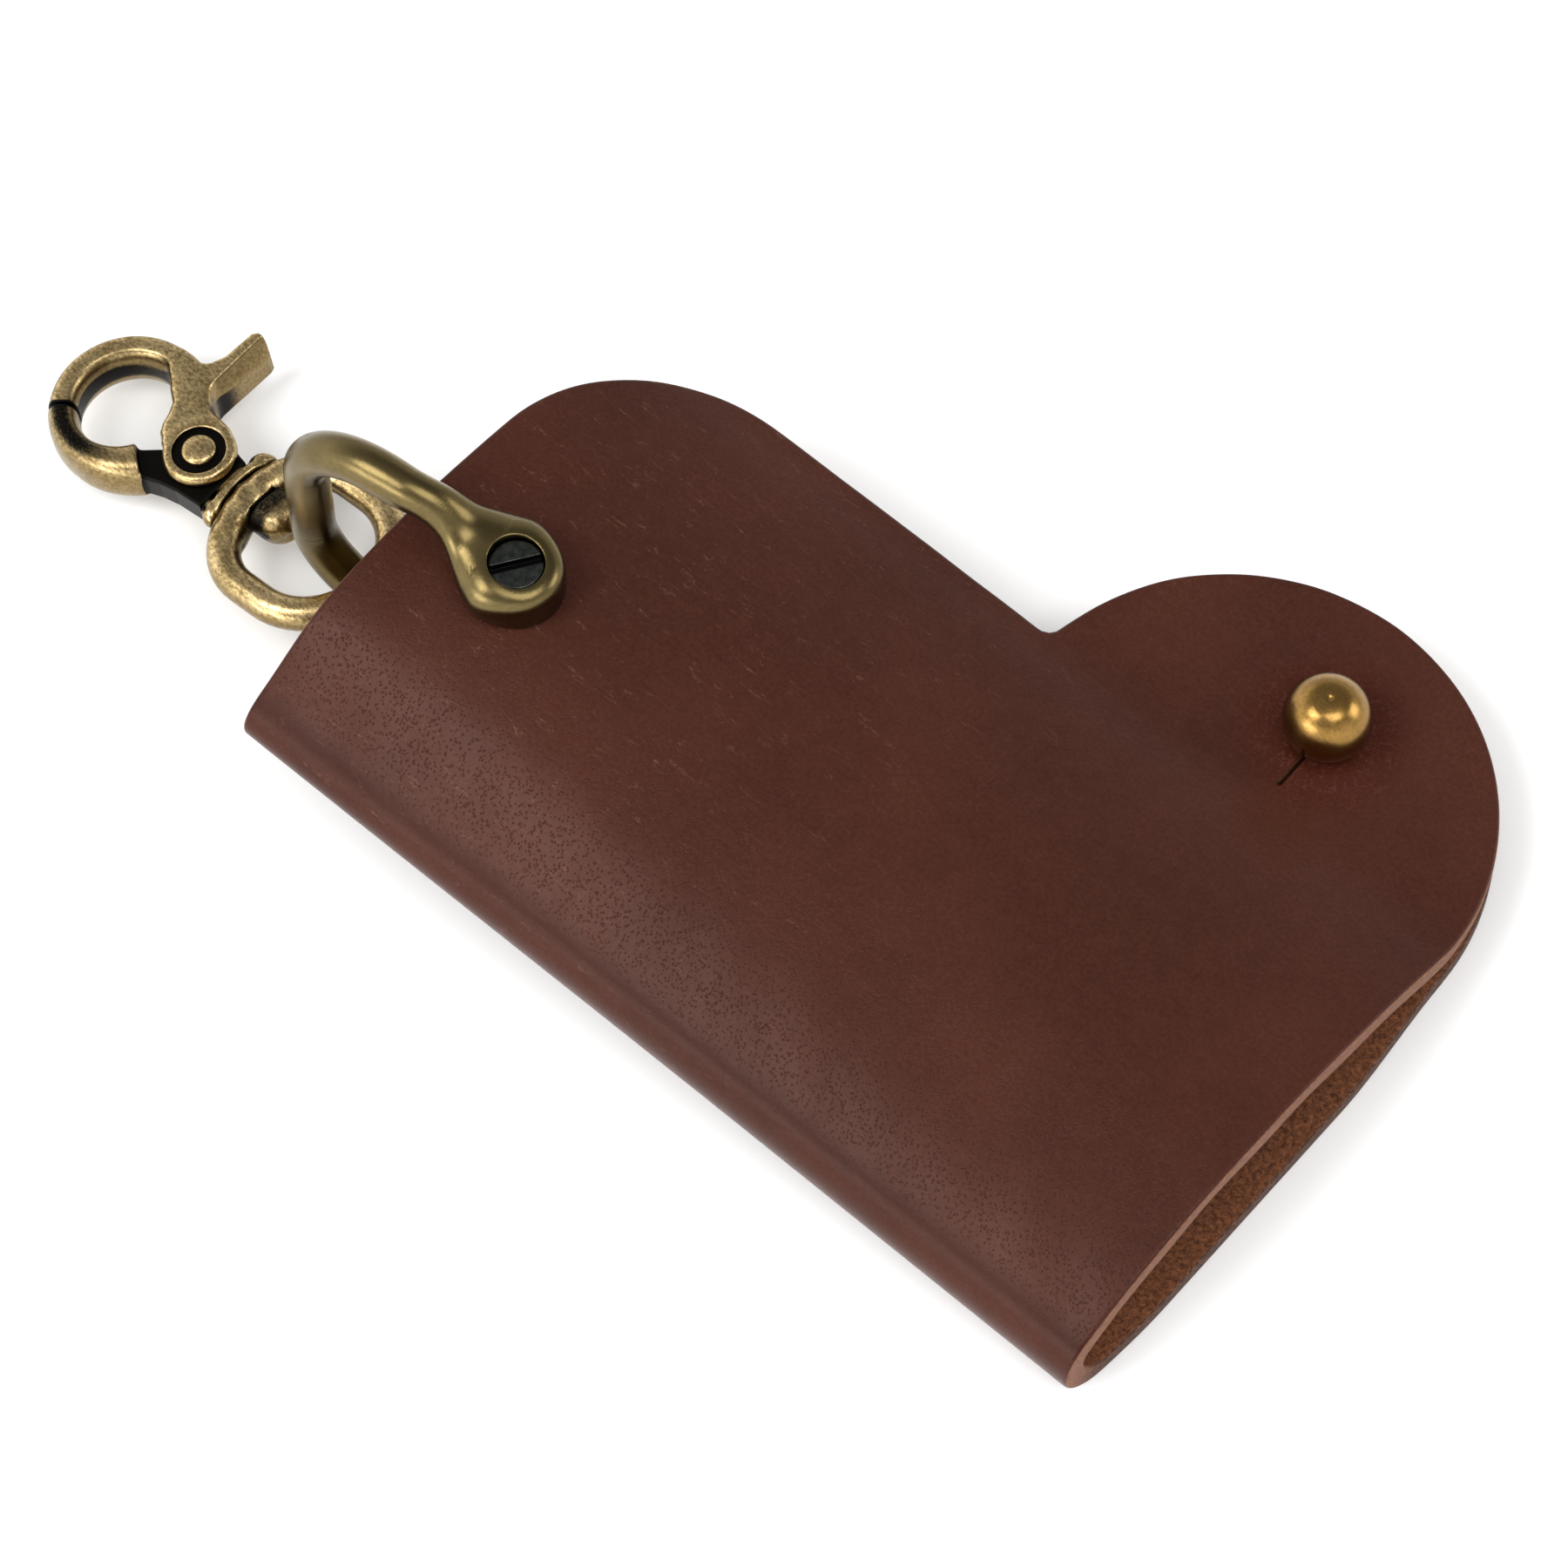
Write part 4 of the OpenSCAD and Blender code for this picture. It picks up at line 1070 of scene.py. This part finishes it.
def ring_field(p):
    """Round wire, the band over its straight side with two crossed waves for its dents, and the
    hole and cup for the shank."""
    wire_r = np.full(len(ring_line), RING_WIRE)
    wire = rod(p, ring_line, wire_r, wire_r)
    band = rod(p, band_line, band_half, band_half * 1.15, 2.4)
    band = blend_max(band, np.abs(p[:, 1]) - BAND_END, 0.3)
    dents = np.sin(2.3 * p[:, 0] + 1.1 * p[:, 1]) * np.sin(1.9 * p[:, 1] + 1.4 * p[:, 2])
    d = blend_min(wire, band + DENT * dents, 0.2)
    across = np.hypot(p[:, 1], p[:, 2])
    d = blend_max(d, BORE_R - across - 50 * (p[:, 0] > 0), 0.15)
    cup = np.maximum(across - CUP_R, -CUP_AT - p[:, 0])
    return blend_max(d, -np.where(p[:, 0] > 0, 1.0, cup), 0.25)


cast("ring_band", ring_field, (-10.4, -8.8, -2.6), (8.8, 8.8, 2.6), hook_place, antique,
     "ring", "swivel_ring", 0.11)

# %% [markdown]
# ## Hook frame
# The fixed half of the hook: a lower jaw that swells toward its root, a thin dark tongue between
# the lever's cheeks, a collar with two knobs that follows the band, and a shank whose head was
# peened over inside the ring. Sculpting could give these forms, but here each keeps a number that
# also fits the CAD node.

# %% Hook frame
JAW_R, JAW_W, HOOK_T, BOSS, SPLIT_A, STEP_A = 4.6, 2.7, 4.8, 3.3, 41, 142
JAW_MID, JAW_OUT, SHOULDER_U = JAW_R + JAW_W / 2, JAW_R + JAW_W, BAR_U + 1.7
HEAD_U, HEAD_ROUND, FACET = BAR_U - 1.7, 2.2, 0.14  # the shank's peened head
COLLAR_R, COLLAR_SIDE, COLLAR_BOW, KNOB_R, KNOB_SIDE = 1.3, 2.0, 2.2, 1.15, 3.2
TONGUE_HALF, SHANK_R = 1.3, 0.95


def jaw(r, a):
    """A point at distance r and angle a from the middle of the hook's eye."""
    a = np.radians(a)
    return np.stack([-EYE_U - r * np.cos(a), r * np.sin(a)], -1)


low_a = np.linspace(-SPLIT_A - 1, -STEP_A, 34)
low_grow = np.maximum(0, (-low_a - 90) / (STEP_A - 90)) * JAW_W * 0.24
low_line = jaw(JAW_MID, low_a)
tongue_line = np.array([
    jaw(JAW_R, -STEP_A + 8), jaw(JAW_OUT, -STEP_A + 10), (-16.31, -4.69), (-14.79, -4.19),
    (-13.14, -3.89), (-10.3, -3.76), (-10.3, 1.98), (-RIVET_U, 2.8), (-16.44, -1.0)])


def cut_at(p, point, angle):
    """Distance past the line that crosses the jaw at an angle, through a point of its middle."""
    a = math.radians(angle)
    return (p[:, 0] - point[0]) * math.sin(a) + (p[:, 1] - point[1]) * math.cos(a)


def frame_field(p):
    """Lower jaw, tongue, collar with two knobs, shank, and a peened head with three facets.
    Collar and knobs are read at a point that leans back with the band's curve."""
    lower = rod(p, low_line, JAW_W / 2 + low_grow, np.full(34, HOOK_T / 2), 2.5)
    lower = blend_max(lower, cut_at(p, low_line[0], low_a[0]) + 0.05, 0.2)
    lower = blend_max(lower, -cut_at(p, low_line[-1], low_a[-1]), 0.3)
    tongue = plate(p, tongue_line, TONGUE_HALF, 0.3)
    d = blend_min(lower, tongue, 0.5)
    lean = p[:, 0] - COLLAR_BOW * (p[:, 1] / RING_R) ** 2
    collar = np.hypot(np.maximum(np.abs(p[:, 1]) - COLLAR_SIDE, 0), p[:, 2]) - COLLAR_R
    collar = blend_max(collar, np.abs(lean + SHOULDER_U + 0.48) - 0.47, 0.4)
    knob = np.hypot(np.abs(p[:, 1]) - KNOB_SIDE, p[:, 2]) - KNOB_R
    knob = blend_max(knob, np.abs(lean + SHOULDER_U + 0.82) - 0.82, 0.9)
    d = blend_min(d, blend_min(collar, knob, 0.4), 0.3)
    shank = np.maximum(np.hypot(p[:, 1], p[:, 2]) - SHANK_R, np.abs(p[:, 0] + BAR_U) - 2.2)
    d = np.minimum(d, shank)
    facets = FACET * np.sin(3 * np.arctan2(p[:, 2], p[:, 1]) + 0.7)
    past = 1.05 * np.maximum(p[:, 0] + HEAD_U - 1.3, 0)
    head = np.sqrt((p[:, 1] * 0.92) ** 2 + p[:, 2] ** 2 + past ** 2)
    head = blend_max(head - HEAD_ROUND - facets, -(p[:, 0] + HEAD_U), 0.3)
    return np.minimum(d, head)


def frame_shade_paint(p):
    """Painted shade: the tongue between the cheeks, the foot of the shank's head inside the ring's
    cup and the split's end face are painted nearly black."""
    tongue = smooth(-np.abs(p[:, 2]), -1.6, -1.35) * smooth(-p[:, 0], 10.1, 10.5)
    tongue *= smooth(-cut_at(p, low_line[-1], low_a[-1]), -0.05, 0.2) * (p[:, 0] > -EYE_U)
    foot = smooth(p[:, 0], -6.6, -5.9) * (1 - 0.55 * smooth(p[:, 0], -4.9, -3.6))
    end = smooth(cut_at(p, low_line[0], low_a[0]), -0.3, -0.1) * (p[:, 0] < -EYE_U)
    return 0.9 * tongue + 0.6 * foot + 0.9 * end


cast("hook_jaw", frame_field, (-31, -9.4, -2.8), (-1.6, 5.2, 2.8), hook_place, antique,
     "hook", "hook_frame", 0.13, frame_shade_paint)

# %% [markdown]
# ## Lever
# The half that opens: the upper jaw, a thumb tab that stands off it, and two cheeks that straddle
# the tongue round the rivet. Neck and tab are polygons read from the photograph and made into
# plates with rounded edges, where an extruded curve would show a seam against the jaw.

# %% Lever
CHEEK_GAP, CHEEK_HOLLOW_R, RIVET_HOLE_R, SINK_R, SINK_DEEP = 1.4, 3.7, 1.0, 2.31, 0.4
TAB_FACE, TAB_SLANT = 17.75, 0.35
high_a = np.linspace(1 - SPLIT_A, 150, 50)
high_line = jaw(JAW_MID, high_a)
neck_line = np.concatenate([
    [jaw(JAW_MID, 92), jaw(4.5, 100), jaw(3.75, 122), (-19.35, 2.3), (-18.85, 1.2), (-18.55, 0.2)],
    [(-18.1, -0.6), (-17.1, -1.3), (-14.46, -0.66), (-13.47, 3.2), (-15.0, 3.7), (-16.5, 4.0)],
    [(-17.3, 4.9), (-18.6, 6.4), (-20.2, 6.6), jaw(6.85, 102), jaw(6.5, 92)]])
tab_line = np.array([(-17.2, 4.4), (-16.95, 11.5), (-17.1, 12.0), (-17.5, 12.2), (-18.2, 12.2),
                     (-18.62, 11.7), (-18.8, 8.58), (-19.3, 7.4), (-20.1, 6.4)])


def lever_field(p):
    """Upper jaw, neck, thumb tab and the two cheeks, with the rivet's hole and recesses."""
    upper = rod(p, high_line, np.full(50, JAW_W / 2), np.full(50, HOOK_T / 2), 2.5)
    near = p[:, 0] > -EYE_U
    upper = blend_max(upper, np.where(near, -2, -cut_at(p, high_line[0], high_a[0]) + 0.05), 0.2)
    upper = blend_max(upper, np.where(near, cut_at(p, high_line[-1], high_a[-1]), -2), 1.5)
    d = blend_min(upper, plate(p, neck_line, HOOK_T / 2 - 0.1, 0.9), 0.9)
    tab = plate(p, tab_line, HOOK_T / 2, 0.4)
    slant = 0.94 * (p[:, 0] + TAB_FACE + TAB_SLANT * (p[:, 2] - HOOK_T / 2))
    tab = blend_max(tab, slant, 0.15)
    d = blend_min(d, tab, 0.5)
    at = p + (RIVET_U, 0, 0)
    d = blend_min(d, puck(at, BOSS, -HOOK_T / 2, HOOK_T / 2, 0.75), 0.8)
    d = blend_max(d, np.abs(p[:, 2]) - HOOK_T / 2, 0.3)
    around = np.hypot(at[:, 0], at[:, 1])
    d = blend_max(d, -np.maximum(around - CHEEK_HOLLOW_R, np.abs(p[:, 2]) - CHEEK_GAP), 0.2)
    d = blend_max(d, RIVET_HOLE_R - around, 0.1)
    sink = np.maximum(around - SINK_R, HOOK_T / 2 - SINK_DEEP - np.abs(p[:, 2]))
    return blend_max(d, -sink, 0.3)


def lever_shade_paint(p):
    """Painted shade: the ring-shaped hollow round the rivet and the split's end face are painted
    nearly black.
    """
    around = np.hypot(p[:, 0] + RIVET_U, p[:, 1])
    end = smooth(-cut_at(p, high_line[0], high_a[0]), -0.3, -0.1) * (p[:, 0] < -EYE_U)
    return 0.9 * (smooth(-around, -2.55, -2.25) * smooth(-np.abs(p[:, 2]), -2.35, -2.1) + end)


cast("hook_lever", lever_field, (-31, -5.2, -2.8), (-9.8, 13, 2.8), hook_place, antique,
     "trigger", "trigger_lever", 0.13, lever_shade_paint)

# %% [markdown]
# ## Turned pieces
# The ball stud and the rivet were turned on a lathe. A Screw modifier would turn their profiles
# too; here all rings of points are computed at once, and the last ring of a dome is too small to
# see. The stud screw and the torsion spring stay as the CAD made them, in blackened steel.


# %% Turned pieces
def turned(name, profile, place, material, body, stands_for, around):
    """A piece turned from a profile of (radius, height) points about the third axis: each point
    of the profile becomes a ring of so many points around."""
    profile = np.asarray(profile, float)
    a = np.linspace(0, 2 * math.pi, around, endpoint=False)
    rings = np.stack([profile[:, :1] * np.cos(a), profile[:, :1] * np.sin(a),
                      np.repeat(profile[:, 1:], around, 1)], -1).reshape(-1, 3)
    k = np.arange(len(profile) - 1)[:, None] * around
    i, j = np.arange(around)[None], (np.arange(around)[None] + 1) % around
    quads = np.stack([k + i, k + j, k + around + j, k + around + i], -1).reshape(-1, 4)
    metal_piece(name, rings, quads, place, material, body, stands_for, np.zeros(len(rings)),
                np.ones(len(rings)))


BALL_Z, BALL_R, NECK_R, FLAT_R = 8.52, 3.8, 1.72, 1.95
top_z = BALL_Z + math.sqrt(BALL_R ** 2 - 1.7 ** 2)  # where the ball is 1.7 mm in radius
ball = [(1.25, 0.2), (1.6, 0.25), (1.6, 2.25), (2.8, 2.3), (2.9, 2.45), (2.85, 2.75), (2.75, 2.8),
        (NECK_R, 2.82)]
ball += arc((0, BALL_Z), BALL_R, -math.degrees(math.acos(NECK_R / BALL_R)),
            math.degrees(math.acos(FLAT_R / BALL_R)), 40).tolist()
ball += [(r, top_z + rise) for r, rise in (
    (1.8, -0.06), (1.6, 0.03), (1.3, 0.11), (0.9, 0.17), (0.5, 0.2), (0.3, 0.2), (0.22, 0.17),
    (0.1, 0.12), (0.001, 0.1))]
turned("ball_stud", ball, lambda p: p + (STUD[0], STUD[1], 0), gold, "case", "stud_post", 96)

dome = [(1.55, 2.0), (1.56, 2.25), (1.5, 2.42), (1.35, 2.54), (1.1, 2.63), (0.8, 2.7), (0.5, 2.75),
        (0.001, 2.78)]
rivet = [(r, -h) for r, h in dome[::-1]] + [(0.9, -2.0), (0.9, 2.0)] + dome
turned("rivet_heads", rivet, lambda p: hook_place(p + (-RIVET_U, 0, 0)), antique, "hook",
       "pivot_rivet", 48)
for name in ("stud_screw", "trigger_spring"):
    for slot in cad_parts[name].material_slots:
        slot.material = steel
